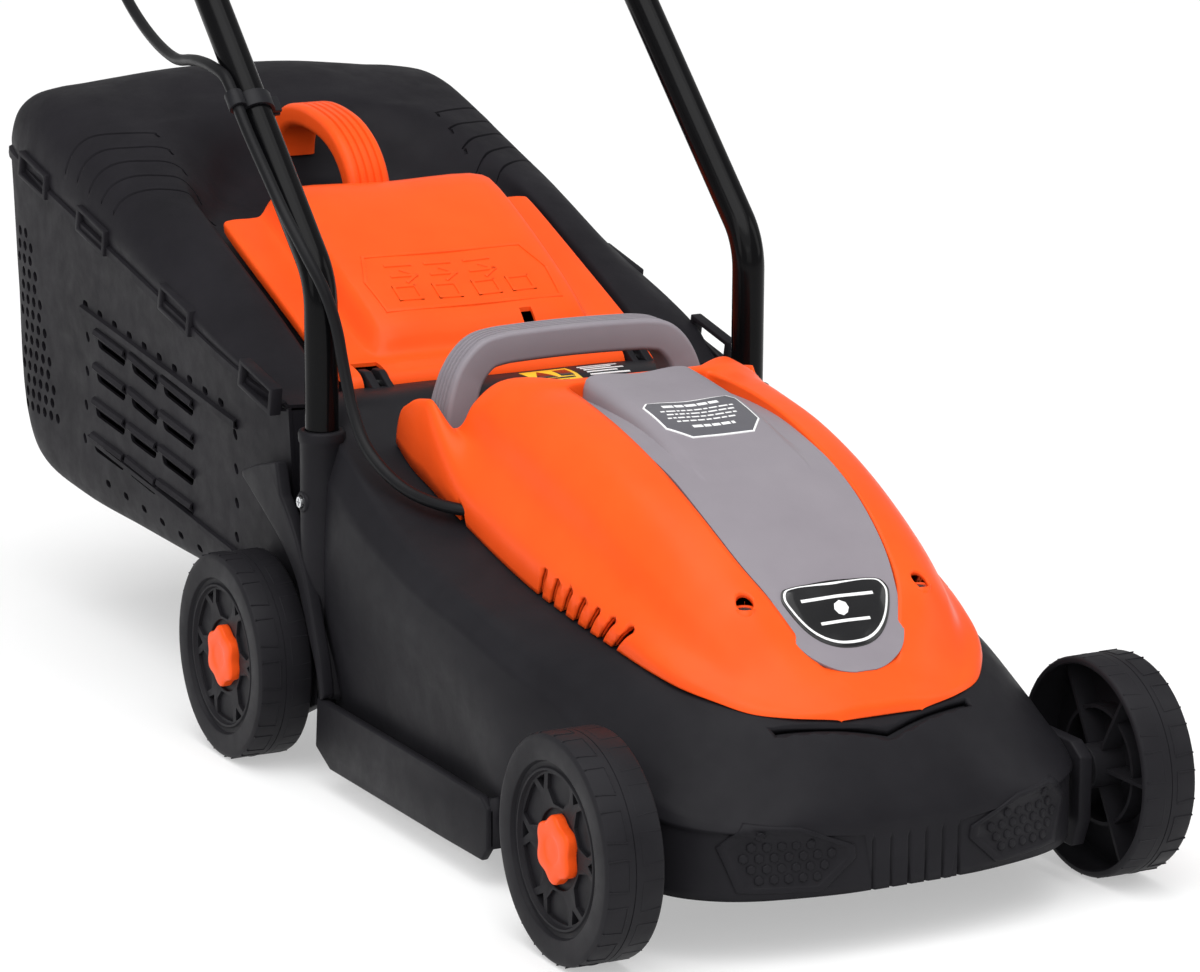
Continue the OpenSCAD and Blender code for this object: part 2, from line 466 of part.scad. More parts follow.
// ---------- cutting unit ----------
module rotor_core() {
    color([0.42, 0.43, 0.45]) at_motor() difference() {
        translate([0, 0, 132]) cylinder(r = 25.5, h = 56);
        translate([0, 0, 131]) cylinder(r = 6.02, h = 58);
        for (a = [0:30:330]) rotate(a) translate([21, -1.3, 131]) cube([8, 2.6, 58]);
    }
}
module commutator() {
    color([0.78, 0.45, 0.20]) at_motor() difference() {
        translate([0, 0, 199]) cylinder(r = 13.5, h = 20);
        translate([0, 0, 198]) cylinder(r = 5.02, h = 23);
        for (a = [0:30:330]) rotate(a) translate([12.7, -0.4, 202]) cube([2, 0.8, 18]);
    }
}
module motor_shaft() {
    color(steel) at_motor() {
        translate([0, 0, 50]) cylinder(r = 6, h = 142);
        translate([0, 0, 192]) cylinder(r = 5, h = 42);
    }
}
module cooling_fan() {
    color([0.20, 0.20, 0.22]) at_motor() difference() {
        union() {
            translate([0, 0, 80]) cylinder(r = 46, h = 2.5);
            translate([0, 0, 74]) cylinder(r = 12, h = 8);
            for (a = [0:30:330]) rotate(a) translate([14, -1, 82]) cube([30, 2, 6.5]);
        }
        translate([0, 0, 73]) cylinder(r = 6.02, h = 12);
    }
}
module blade_carrier() {
    color([0.30, 0.31, 0.33]) at_motor() difference() {
        union() {
            translate([0, 0, 54]) cylinder(r = 16, h = 19.5);
            translate([-30, -16, blade_z + 4.2]) cube([60, 32, 5.2]);
        }
        translate([0, 0, blade_z]) cylinder(r = 6.02, h = 40);
    }
}
module cutting_blade() {
    bl = blade_l / 2;
    color([0.55, 0.56, 0.58]) at_motor() difference() {
        union() {
            translate([0, 0, blade_z]) linear_extrude(4) polygon([[-bl + 3, -21], [-bl, -14], [-bl, 20], [-bl + 3, 22], [-80, 22], [-60, 25], [60, 25], [80, 21],
                [bl - 3, 21], [bl, 14], [bl, -20], [bl - 3, -22], [80, -22], [60, -25], [-60, -25], [-80, -21]]);
            for (s = [0, 180]) rotate(s) translate([-bl + 1, 12, blade_z + 3]) rotate([22, 0, 0]) cube([62, 12, 3]);
        }
        translate([0, 0, blade_z - 1]) cylinder(r = 5.05, h = 8);
        for (s = [0, 180]) rotate(s) translate([bl - 76, -30, blade_z - 4]) rotate([28, 0, 0]) translate([0, 0, -4]) cube([80, 12, 6]);
    }
}
module blade_bolt() {
    color(steel) at_motor() {
        translate([0, 0, blade_z - 3]) difference() { cylinder(r = 17, h = 2.9); translate([0, 0, -1]) cylinder(r = 5.05, h = 5); }
        translate([0, 0, blade_z - 9.6]) linear_extrude(6.5) circle(r = 9, $fn = 6);
        translate([0, 0, blade_z - 3.2]) cylinder(r = 5, h = 7.9);
    }
}

// ---------- rear flap ----------
flap_tx = [1, 1, 0.3, 0.2, 0.7, 0];
flap_tz = [0, 0.6, 1, 1, 1, 1];
flap_rows = [
    [414, -2.5, 1, [[118.5, 322.5], [117, 329.5], [110, 330], [94, 330.2], [83, 331], [0, 331]]],
    [407, -2, 1, [[119, 319], [118, 326.5], [110, 327.5], [93, 327.7], [80, 349], [0, 350]]],
    [302, 0, 1, [[119, 277], [118, 284], [110, 285], [91, 285.2], [78, 307.5], [0, 309]]],
    [253, 0, 1, [[119, 258], [118, 264], [110, 265], [89, 265.2], [76, 281], [0, 282]]],
    [245, 2.5, 1, [[119, 256], [118, 261.5], [110, 262.3], [88, 262.4], [78, 263], [0, 263.5]]],
    [224, 0, 1, [[119, 251.5], [118, 258.5], [110, 259.6], [90, 259.8], [75, 260], [0, 260]]],
    [215, 1.5, 1, [[118, 248.5], [117, 254.5], [110, 255.4], [90, 255.6], [75, 255.8], [0, 255.8]]],
    [210.6, 2.5, 0, [[116, 244], [115, 245.5], [109, 246], [90, 246], [75, 246], [0, 246]]]];
function fz(y) = 281.5 + (y - 253) * 0.545;
module rear_flap() {
    color(orange) difference() {
        union() {
            shell(flap_rows, 2.5, flap_tx, flap_tz);
            both() {
                xcyl(5.2, 64, 87, hinge_y, hinge_z);
                slab(64, 87) polygon([[hinge_y - 5.2, hinge_z], [hinge_y - 4, 257.2], [hinge_y + 4, 258], [hinge_y + 5.2, hinge_z]]);
            }
            // raised grid on the plateau
            for (y = [262, 280, 297]) slab(-62, 62) polygon([[y, fz(y) - 1.4], [y + 0.6, fz(y) + 1.3], [y + 1.8, fz(y) + 1.9], [y + 2.6, fz(y) - 0.2]]);
        }
        xcyl(2.56, -125, 125, hinge_y, hinge_z);
        // clearance round the hinge lugs
        both() translate([88.6, 205, 238]) cube([19.4, 28.5, 40]);
        // inspection hole in the plateau
        translate([48, 245, 255]) cube([9, 7, 40]);
    }
}

// ---------- collector ----------
lid_tx = [1, 1, 0.6, 0.3, 0, 0, 0];
lid_tz = [0, 0.3, 0.8, 1, 1, 1, 1];
lid_rows = [
    [714, -2.5, 0, [[152, 345], [146, 345], [138, 345], [126, 345], [108, 345], [80, 345], [0, 345]]],
    [712, -2.5, 1, [[156, 345], [155, 352], [148, 360], [135, 365], [112, 369], [90, 371], [0, 374]]],
    [690, 0, 1, [[166, 340.2], [166, 352], [160, 372], [148, 382], [120, 388], [90, 391], [0, 395]]],
    [655, 0, 1, [[170, 332.8], [172, 346], [165, 376], [152, 387], [122, 393], [92, 396], [0, 402]]],
    [600, 0, 1, [[170, 321.3], [173, 334], [166, 366], [153, 377], [122, 385], [62, 391], [0, 396]]],
    [572, 0, 1, [[170, 315.4], [173, 328], [166, 358], [153, 369], [122, 377], [54, 382], [0, 386]]],
    [545, 0, 1, [[170, 309.8], [173, 323], [166, 351], [153, 362], [122, 368], [74, 336], [0, 332]]],
    [520, 0, 1, [[170, 304.5], [173, 318], [165, 344], [152, 355], [120, 361], [80, 327], [0, 326]]],
    [460, 0, 1, [[170, 291.9], [173, 306], [164, 328], [150, 338], [127, 342], [112, 323], [0, 321]]],
    [414, 0, 1, [[170, 282.3], [173, 296], [163, 312], [149, 325], [128, 328], [121, 315], [0, 315]]],
    [360, 0, 1, [[170, 271], [173, 284], [163, 294], [149, 304], [128, 306], [121, 293], [0, 293]]],
    [302, 0, 1, [[170, 258.8], [173, 270], [163, 276], [149, 282], [128, 283], [121, 270], [0, 270]]],
    [252, 0, 1, [[168, 248.3], [170, 256], [162, 258], [149, 259], [128, 259], [121, 249], [0, 249]]],
    [238, 0, 1, [[166, 245.4], [168, 249.5], [161, 250], [149, 249], [128, 246], [121, 239], [0, 239]]],
    [214, 0, 1, [[163, 240.3], [164.5, 241.6], [159, 242], [148, 241], [128, 239], [121, 237.4], [0, 237.4]]]];
base_tx = [1, 1, 1, 1, 0.7, 0.3, 0];
base_tz = [0, 0, 0, -0.2, -0.8, -1, -1];
base_rows = [
    [711, -2.5, 0, [[148, 343.9], [140, 343.9], [130, 343.9], [118, 343.9], [100, 343.9], [70, 343.9], [0, 343.9]]],
    [706, -2.5, 1, [[160, 343], [160, 330], [158, 300], [152, 262], [140, 242], [120, 233], [0, 230]]],
    [700, -1.5, 1, [[165, 341.8], [164, 318], [161, 240], [157, 170], [148, 151], [128, 143], [0, 140]]],
    [690, 0, 1, [[167, 339.7], [166, 315], [162, 220], [158, 135], [151, 121], [134, 115], [0, 114]]],
    [670, 0, 1, [[168, 335.5], [167, 311], [163, 210], [158, 122], [152, 111], [137, 106], [0, 105]]],
    [600, 0, 1, [[168, 320.9], [167, 296], [162, 200], [157, 112], [151, 100], [137, 94], [0, 94]]],
    [500, 0, 1, [[168, 299.9], [166, 275], [162, 190], [156, 110], [150, 98], [136, 92], [0, 92]]],
    [400, 0, 1, [[168, 278.9], [166, 255], [161, 180], [156, 108], [150, 97], [136, 91], [0, 91]]],
    [302, 0, 1, [[168, 258.4], [166, 236], [161, 170], [156, 108], [150, 97], [136, 91], [0, 91]]],
    [252, 0, 1, [[166, 247.9], [164, 226], [160, 165], [155, 108], [149, 97], [136, 91], [0, 91]]],
    [214, 0, 1, [[162, 239.9], [161, 220], [157, 160], [152, 108], [147, 98], [135, 92], [0, 92]]]];

module seam(y) { translate([0, y, 238 + 0.21 * (y - 204)]) rotate([11.9, 0, 0]) children(); }
module collector_lid() {
    color(charcoal) difference() {
        union() {
            shell(lid_rows, bag_t, lid_tx, lid_tz);
            // clip housings along both edges
            both() for (y = [622, 520, 372, 238]) seam(y) translate([169, -26, 2]) cube([6.2, 52, 13]);
        }
        both() for (y = [622, 520, 372, 238]) seam(y) translate([171.5, -20, 4.5]) cube([6, 40, 6.5]);
    }
}
module collector_base() {
    color(charcoal) difference() {
        union() {
            shell(base_rows, bag_t, base_tx, base_tz, true);
            // front frame with the mouth opening
            wall(215, 218) difference() {
                polygon([[-160.5, 238], [-159.5, 220], [-155.5, 160], [-150.5, 108], [-146, 99.5], [-134, 93.5], [134, 93.5], [146, 99.5],
                    [150.5, 108], [155.5, 160], [159.5, 220], [160.5, 238], [148, 237.6], [128, 235.6], [121, 234.4], [-121, 234.4],
                    [-128, 235.6], [-148, 237.6]]);
                polygon([[-115, 104], [-115, 214], [-104, 228], [104, 228], [115, 214], [115, 104]]);
            }
        }
        // louvre slots in both sides
        both() for (r = [0:3]) for (c = [0:2]) translate([150, 306 + c * 82, 138 + r * 24 + c * 14]) rotate([9.7, 0, 0]) cube([24, 66, 7]);
        // round vent holes at the rear corners
        both() for (r = [0:8]) for (c = [0:4]) translate([150, 622 + c * 15 + (r % 2) * 7.5, 158 + r * 16]) rotate([0, 90, 0]) cylinder(r = 3.6, h = 24, $fn = 16);
    }
}
module collector_handle() {
    color(orange) difference() {
        slab(-17, 17) union() {
            polygon([[418, 315.7], [418, 338], [422, 352], [434, 367], [450, 379], [470, 387.5], [495, 391.5], [520, 392.5], [545, 390], [562, 385.5],
                [569.5, 381.7], [551, 344.9], [546, 334.8], [541, 331.8], [541, 349], [536, 362], [524, 371.5], [508, 374.5], [490, 373.5], [470, 368],
                [455, 359], [446, 347], [443, 336], [443, 319.2]]);
        }
        for (x = [-11, -4.2, 2.6, 9.4]) slab(x, x + 1.6) difference() {
            polygon([[415, 310], [415, 400], [575, 400], [575, 384]]);
            polygon([[419.5, 300], [419.5, 337.6], [423.4, 351.4], [435, 366], [450.7, 377.6], [470.4, 386], [495.1, 390], [520, 391], [544.8, 388.5], [561.6, 384],
                [569.5, 380.4], [575, 378], [575, 300]]);
        }
    }
}

// ---------- axles and wheels ----------
module axle(s) { xcyl(ar, -198.6, 198.6, s * ax_y, wr); }
module axle_clips(s) {
    both() for (x = [[163.2, 164.9], [197.1, 198.4]]) difference() {
        xcyl(9, x[0], x[1], s * ax_y, wr);
        xcyl(ar, x[0] - 1, x[1] + 1, s * ax_y, wr);
    }
}
module front_axle() { color(steel) axle(-1); }
module rear_axle() { color(steel) axle(1); }
module front_axle_clips() { color(steel) axle_clips(-1); }
module rear_axle_clips() { color(steel) axle_clips(1); }

// wheel about the X axis, outer face at +X
module wheel_body() {
    x1 = wheel_face_x;
    x0 = wheel_face_x - wheel_w;
    rotate([0, 90, 0]) difference() {
        union() {
            rotate_extrude() polygon([[ar + 0.06, x0 + 1.4], [14, x0 + 1.4], [14, x1 - 14], [wr - 5.5, x1 - 14], [wr - 5.5, x0], [wr - 2.2, x0], [wr - 1.2, x0 + 1.2],
                [wr - 1.2, x1 - 1.2], [wr - 2.4, x1], [53, x1], [51.5, x1 - 3.2], [49, x1 - 3.2], [48.2, x1 - 1.8], [46.6, x1 - 1.8], [46, x1 - 4.4],
                [24.5, x1 - 4.4], [24.5, x1 - 7], [ar + 0.06, x1 - 7]]);
            // tread lugs, two staggered rows
            for (a = [0:18:342]) {
                rotate(a) translate([0, 0, x1 - 17]) linear_extrude(15) intersection() {
                    difference() { circle(r = wr, $fn = 96); circle(r = wr - 2.4, $fn = 96); }
                    polygon([[0, 0], [80, -6.6], [80, 6.6]]);
                }
                rotate(a + 9) translate([0, 0, x0 + 2]) linear_extrude(15) intersection() {
                    difference() { circle(r = wr, $fn = 96); circle(r = wr - 2.4, $fn = 96); }
                    polygon([[0, 0], [80, -6.6], [80, 6.6]]);
                }
            }
            // inner ribs and ring
            for (a = [0:60:300]) rotate(a) translate([13, -1.2, x0 + 8]) cube([wr - 18, 2.4, wheel_w - 20]);
            translate([0, 0, x0 + 12]) difference() { cylinder(r = 38, h = wheel_w - 25); translate([0, 0, -1]) cylinder(r = 35.6, h = wheel_w - 22); }
        }
        // six trapezoid pockets and six small pockets in the outer face
        for (a = [0:60:300]) {
            rotate(a) translate([0, 0, x1 - 9.5]) linear_extrude(8) polygon([[25.5, -6.5], [33, -13.5], [43.5, -13.5], [43.5, 13.5], [33, 13.5], [25.5, 6.5]]);
            rotate(a + 30) translate([0, 0, x1 - 9.5]) linear_extrude(8) polygon([[35.5, 0], [44, -5.5], [44, 5.5]]);
        }
    }
}
module hub_cap_body() {
    x1 = wheel_face_x;
    rotate([0, 90, 0]) difference() {
        union() {
            intersection() {
                translate([0, 0, x1 - 4]) rotate_extrude() polygon([[0, 0], [22, 0], [22, 2.2], [17, 3.6], [8, 4], [0, 4]]);
                union() {
                    translate([0, 0, x1 - 5]) cylinder(r = 18.8, h = 6);
                    for (a = [0:60:300]) rotate(a) translate([15.4, 0, x1 - 5]) cylinder(r = 6.4, h = 6);
                }
            }
            translate([0, 0, x1 - 6.9]) difference() { cylinder(r = 15, h = 3.5); translate([0, 0, -1]) cylinder(r = 12.5, h = 6); }
        }
        translate([0, 0, x1 - 8]) cylinder(r = 9.5, h = 5.4);
    }
}
module at_wheel(s) { translate([0, s * ax_y, wr]) children(); }
module front_wheel_left() { color(charcoal) at_wheel(-1) wheel_body(); }
module front_wheel_right() { color(charcoal) at_wheel(-1) mirror([1, 0, 0]) wheel_body(); }
module rear_wheel_left() { color(charcoal) at_wheel(1) wheel_body(); }
module rear_wheel_right() { color(charcoal) at_wheel(1) mirror([1, 0, 0]) wheel_body(); }
module front_cap_left() { color(orange) at_wheel(-1) hub_cap_body(); }
module front_cap_right() { color(orange) at_wheel(-1) mirror([1, 0, 0]) hub_cap_body(); }
module rear_cap_left() { color(orange) at_wheel(1) hub_cap_body(); }
module rear_cap_right() { color(orange) at_wheel(1) mirror([1, 0, 0]) hub_cap_body(); }

// ---------- upper handle ----------
uh_r = 60;
module u_tube(r) {
    both() translate([leg_x, 0, -26]) cylinder(r = r, h = 26 + upper_l - uh_r);
    both() translate([leg_x - uh_r, 0, upper_l - uh_r]) rotate([90, 0, 0]) rotate_extrude(angle = 90) translate([uh_r, 0]) circle(r = r);
    translate([-(leg_x - uh_r), 0, upper_l]) rotate([0, 90, 0]) cylinder(r = r, h = 2 * (leg_x - uh_r));
}
module upper_handle_tube() {
    color(black) up_handle() difference() {
        u_tube(tr);
        u_tube(tr - 1.4);
        both() translate([leg_x, 0, -28]) cylinder(r = tr - 1.4, h = 10);
        xcyl(3.06, -160, 160, 0, 0);
    }
}
module foam_grip() {
    color([0.09, 0.09, 0.10]) up_handle() difference() {
        xcyl(grip_r, -72, 72, 0, upper_l);
        xcyl(tr + 0.02, -73, 73, 0, upper_l);
    }
}
box_out = [[-166, 398], [-160, 392], [-102, 392], [-96, 398], [-96, 496], [-102, 502], [-160, 502], [-166, 496]];
box_in = [[-163, 399], [-159, 395], [-103, 395], [-99, 399], [-99, 495], [-103, 499], [-159, 499], [-163, 495]];
module box_half(y0, y1, c0, c1) {
    difference() {
        union() {
            translate([0, y1, 0]) rotate([90, 0, 0]) linear_extrude(y1 - y0) polygon(box_out);
            translate([-184, max(y0, -13), 404]) cube([20, min(y1, 13) - max(y0, -13), 48]);
        }
        translate([0, c1, 0]) rotate([90, 0, 0]) linear_extrude(c1 - c0) polygon(box_in);
        translate([-186, -10.5, 406.5]) cube([18, 21, 43]);
        translate([-leg_x, 0, 380]) cylinder(r = tr + 0.05, h = 140);
        // bail pivot and cable entry
        xcyl(4.08, -101, -90, 0, 470);
        translate([-110, 0, 385]) cylinder(r = 4.0, h = 14);
        // inlet pins
        for (z = [418.5, 437.5]) xcyl(3.02, -170, -160, 0, z);
        // safety button
        translate([-112, -40, 470]) rotate([-90, 0, 0]) cylinder(r = 8.3, h = 25);
        // screws
        for (p = [[-156, 484], [-106, 408], [-156, 458]]) translate([p[0], -30, p[1]]) rotate([-90, 0, 0]) cylinder(r = 1.3, h = 60);
    }
}
module switch_box_top() { color([0.13, 0.13, 0.14]) up_handle() box_half(-26, -0.1, -23, 0.5); }
module switch_box_bottom() { color([0.13, 0.13, 0.14]) up_handle() box_half(0.1, 20, -0.5, 17); }
module inlet_pins() {
    color(steel) up_handle() {
        for (z = [418.5, 437.5]) { xcyl(2.4, -182, -168, 0, z); xcyl(3, -168.01, -159, 0, z); }
        translate([-159.5, -7, 411]) cube([2.4, 14, 34]);
    }
}
module cord_hook() {
    color([0.13, 0.13, 0.14]) up_handle() translate([-leg_x, 0, 350]) difference() {
        union() {
            cylinder(r = 14.5, h = 14);
            translate([-30, -4, 0]) cube([18, 8, 5]);
            translate([-30, -4, 0]) cube([4, 8, 32]);
            translate([-30, -4, 28]) cube([9, 8, 4]);
        }
        translate([0, 0, -1]) cylinder(r = tr + 0.05, h = 20);
    }
}
module bail_bush() {
    color([0.13, 0.13, 0.14]) up_handle() difference() {
        union() {
            translate([leg_x, 0, 458]) cylinder(r = 15, h = 24);
            translate([121, -8, 460]) cube([15, 16, 20]);
        }
        translate([leg_x, 0, 450]) cylinder(r = tr + 0.05, h = 40);
        xcyl(4.08, 115, 130, 0, 470);
    }
}
bail_rest = 38.7;
module bail_lever() {
    color([0.85, 0.30, 0.10]) up_handle() translate([0, 0, 470]) rotate([bail_rest, 0, 0]) {
        xcyl(4, -99, -88, 0, 0);
        xcyl(4, 116, 124.5, 0, 0);
        translate([-88, 0, 0]) sphere(r = 4);
        translate([116, 0, 0]) sphere(r = 4);
        translate([-88, 0, 0]) cylinder(r = 4, h = 94);
        translate([116, 0, 0]) cylinder(r = 4, h = 94);
        translate([-72, 0, 94]) rotate([90, 0, 0]) rotate([0, 0, 90]) rotate_extrude(angle = 90) translate([16, 0]) circle(r = 4);
        translate([100, 0, 94]) rotate([90, 0, 0]) rotate_extrude(angle = 90) translate([16, 0]) circle(r = 4);
        xcyl(4, -72, 100, 0, 110);
    }
}
module safety_button() {
    color([0.85, 0.12, 0.08]) up_handle() translate([-112, 0, 470]) {
        translate([0, -31.5, 0]) rotate([-90, 0, 0]) cylinder(r = 8, h = 9.5);
        translate([0, -22.6, 0]) rotate([-90, 0, 0]) cylinder(r = 10, h = 2.4);
        translate([0, -20.5, 0]) rotate([-90, 0, 0]) cylinder(r = 3, h = 6);
    }
}
module wing_knob() {
    difference() {
        union() {
            xcyl(9, 171, 186, fold_y, fold_z);
            for (s = [0, 180]) translate([0, fold_y, fold_z]) rotate([s + 20, 0, 0]) translate([0, 0, 0]) slab(175, 185) polygon([[0, -7], [22, -6], [28, 0], [28, 6], [22, 9], [0, 7]]);
        }
        xcyl(3.06, 170, 183, fold_y, fold_z);
    }
}
module wing_knob_left() { color([0.13, 0.13, 0.14]) wing_knob(); }
module wing_knob_right() { color([0.13, 0.13, 0.14]) mirror([1, 0, 0]) wing_knob(); }

place() deck_shell();
place() rear_axle_arms();
place() motor_cover();
place() cover_panel();
place() badge_plate();
place() rating_label();
place() warning_label();
place() cover_screws();
place() carry_handle();
place() flap_hinge_rod();
place() flap_spring();
place() lower_tube_right();
place() lower_tube_left();
place() socket_screws();
place() cable_lower();
place() cable_clip();
place() fold_bolts();
place() stator_core();
place() stator_windings();
place() motor_lower_bracket();
place() motor_upper_bracket();
place() motor_bearings();
place() brush_holders();
place() suppression_capacitor();
place() motor_screws();
place() rotor_core();
place() commutator();
place() motor_shaft();
place() cooling_fan();
place() blade_carrier();
place() cutting_blade();
place() blade_bolt();
place() rear_flap();
place() collector_base();
place() collector_lid();
place() collector_handle();
place() front_axle();
place() front_axle_clips();
place() rear_axle();
place() rear_axle_clips();
place() front_wheel_right();
place() front_cap_right();
place() front_wheel_left();
place() front_cap_left();
place() rear_wheel_right();
place() rear_cap_right();
place() rear_wheel_left();
place() rear_cap_left();
place() upper_handle_tube();
place() foam_grip();
place() switch_box_top();
place() switch_box_bottom();
place() inlet_pins();
place() cord_hook();
place() bail_bush();
place() cable_upper();
place() wing_knob_right();
place() wing_knob_left();
place() bail_lever();
place() safety_button();
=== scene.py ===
import bpy, bmesh, math, json
import numpy as np
from mathutils import Vector, Matrix
from mathutils.bvhtree import BVHTree

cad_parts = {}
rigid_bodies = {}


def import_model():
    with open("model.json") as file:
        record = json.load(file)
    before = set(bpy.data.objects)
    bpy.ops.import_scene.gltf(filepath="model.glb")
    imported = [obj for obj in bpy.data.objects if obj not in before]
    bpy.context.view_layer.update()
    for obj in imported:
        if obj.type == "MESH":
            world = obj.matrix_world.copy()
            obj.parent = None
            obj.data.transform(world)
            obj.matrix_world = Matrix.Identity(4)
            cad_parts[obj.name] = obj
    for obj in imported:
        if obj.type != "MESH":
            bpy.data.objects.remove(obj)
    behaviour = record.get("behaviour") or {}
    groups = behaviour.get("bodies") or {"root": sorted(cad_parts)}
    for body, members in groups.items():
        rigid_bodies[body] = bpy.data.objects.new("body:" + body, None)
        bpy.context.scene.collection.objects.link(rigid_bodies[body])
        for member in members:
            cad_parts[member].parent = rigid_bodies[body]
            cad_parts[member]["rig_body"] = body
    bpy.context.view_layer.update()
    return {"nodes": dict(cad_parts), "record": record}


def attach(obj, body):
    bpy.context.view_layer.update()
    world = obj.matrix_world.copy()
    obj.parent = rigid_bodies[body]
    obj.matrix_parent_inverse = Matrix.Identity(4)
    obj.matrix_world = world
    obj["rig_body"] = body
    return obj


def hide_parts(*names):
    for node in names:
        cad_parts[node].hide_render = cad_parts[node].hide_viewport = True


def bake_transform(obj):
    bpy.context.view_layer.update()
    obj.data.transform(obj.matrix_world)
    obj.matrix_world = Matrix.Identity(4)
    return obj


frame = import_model()
HS = math.radians(43.7)
FY = 167 + 310 * math.cos(HS)
FZ = 333 + 310 * math.sin(HS)
YS = -((FY + 580 * math.cos(HS) + 15) - 309) / 2
S = bpy.context.scene


def row(p):
    return (p[0] / 1000.0, (p[1] + YS) / 1000.0, p[2] / 1000.0)


def up(x, n, u):
    """A point of the upper handle: x across, n forward off the tube's plane, u along the tube from the fold bolt."""
    return (x, FY + u * math.cos(HS) - n * math.sin(HS), FZ + u * math.sin(HS) + n * math.cos(HS))


# ---------------------------------------------------------------- materials
def _nodes(name):
    m = bpy.data.materials.new(name)
    m.use_nodes = True
    nt = m.node_tree
    for n in list(nt.nodes):
        nt.nodes.remove(n)
    out = nt.nodes.new("ShaderNodeOutputMaterial")
    b = nt.nodes.new("ShaderNodeBsdfPrincipled")
    nt.links.new(b.outputs[0], out.inputs[0])
    tc = nt.nodes.new("ShaderNodeTexCoord")
    return m, nt, b, tc


def _noise(nt, tc, scale, detail=2.0, rough=0.5, stretch=None):
    n = nt.nodes.new("ShaderNodeTexNoise")
    n.inputs["Scale"].default_value = scale
    n.inputs["Detail"].default_value = detail
    n.inputs["Roughness"].default_value = rough
    if stretch:
        mp = nt.nodes.new("ShaderNodeMapping")
        mp.inputs["Scale"].default_value = stretch
        nt.links.new(tc.outputs["Object"], mp.inputs["Vector"])
        nt.links.new(mp.outputs[0], n.inputs["Vector"])
    else:
        nt.links.new(tc.outputs["Object"], n.inputs["Vector"])
    return n


def _range(nt, src, lo, hi, a=0.3, b=0.7):
    r = nt.nodes.new("ShaderNodeMapRange")
    r.inputs["From Min"].default_value = a
    r.inputs["From Max"].default_value = b
    r.inputs["To Min"].default_value = lo
    r.inputs["To Max"].default_value = hi
    nt.links.new(src, r.inputs["Value"])
    return r.outputs["Result"]


def _mix(nt, fac, c1, c2):
    mx = nt.nodes.new("ShaderNodeMix")
    mx.data_type = "RGBA"
    nt.links.new(fac, mx.inputs[0])
    mx.inputs[6].default_value = (*c1, 1)
    mx.inputs[7].default_value = (*c2, 1)
    return mx.outputs[2]


def plastic(name, c1, c2, r_lo, r_hi, grain=900.0, depth=0.00006, strength=0.35, spec=0.5, coat=0.0, coat_r=0.2):
    m, nt, b, tc = _nodes(name)
    big = _noise(nt, tc, 14, 4, 0.6)
    nt.links.new(_mix(nt, _range(nt, big.outputs["Fac"], 0, 1), c1, c2), b.inputs["Base Color"])
    mid = _noise(nt, tc, 60, 5, 0.65)
    nt.links.new(_range(nt, mid.outputs["Fac"], r_lo, r_hi), b.inputs["Roughness"])
    g = _noise(nt, tc, grain, 3, 0.6)
    bp = nt.nodes.new("ShaderNodeBump")
    bp.inputs["Strength"].default_value = strength
    bp.inputs["Distance"].default_value = depth
    nt.links.new(g.outputs["Fac"], bp.inputs["Height"])
    nt.links.new(bp.outputs[0], b.inputs["Normal"])
    b.inputs["Specular IOR Level"].default_value = spec
    if coat:
        b.inputs["Coat Weight"].default_value = coat
        b.inputs["Coat Roughness"].default_value = coat_r
    return m


def metal(name, c1, c2, r_lo, r_hi, scale=40, stretch=(1, 1, 1), metallic=1.0, coat=0.0):
    m, nt, b, tc = _nodes(name)
    big = _noise(nt, tc, scale, 4, 0.6, stretch)
    nt.links.new(_mix(nt, _range(nt, big.outputs["Fac"], 0, 1), c1, c2), b.inputs["Base Color"])
    f = _noise(nt, tc, scale * 12, 3, 0.6, stretch)
    nt.links.new(_range(nt, f.outputs["Fac"], r_lo, r_hi), b.inputs["Roughness"])
    b.inputs["Metallic"].default_value = metallic
    bp = nt.nodes.new("ShaderNodeBump")
    bp.inputs["Strength"].default_value = 0.15
    bp.inputs["Distance"].default_value = 0.00004
    nt.links.new(f.outputs["Fac"], bp.inputs["Height"])
    nt.links.new(bp.outputs[0], b.inputs["Normal"])
    if coat:
        b.inputs["Coat Weight"].default_value = coat
        b.inputs["Coat Roughness"].default_value = 0.05
    return m


M = {}
M["deck_plastic"] = plastic("mat_deck_plastic", (0.010, 0.0095, 0.0115), (0.015, 0.0145, 0.017), 0.40, 0.52, 700, 0.00010, 0.35, spec=0.075)
M["bag_plastic"] = plastic("mat_bag_plastic", (0.010, 0.0093, 0.0115), (0.015, 0.014, 0.017), 0.44, 0.58, 800, 0.00010, 0.40, spec=0.07)
M["cover_plastic"] = plastic("mat_cover_plastic", (0.86, 0.080, 0.009), (0.91, 0.094, 0.012), 0.30, 0.38, 1300, 0.00004, 0.22, spec=0.12)
M["panel_plastic"] = plastic("mat_panel_plastic", (0.215, 0.195, 0.218), (0.240, 0.220, 0.243), 0.36, 0.44, 1200, 0.00005, 0.25, spec=0.20)
M["badge"] = plastic("mat_badge", (0.006, 0.006, 0.007), (0.010, 0.010, 0.011), 0.12, 0.18, 400, 0.00001, 0.1, spec=0.3, coat=0.3, coat_r=0.05)
M["white_ink"] = plastic("mat_white_ink", (0.78, 0.78, 0.78), (0.84, 0.84, 0.84), 0.35, 0.45, 600, 0.00001, 0.1)
M["label_dark"] = plastic("mat_label_dark", (0.085, 0.083, 0.095), (0.11, 0.108, 0.12), 0.30, 0.36, 600, 0.00001, 0.1, spec=0.3)
M["label_yellow"] = plastic("mat_label_yellow", (0.86, 0.52, 0.02), (0.90, 0.58, 0.03), 0.30, 0.36, 600, 0.00001, 0.1)
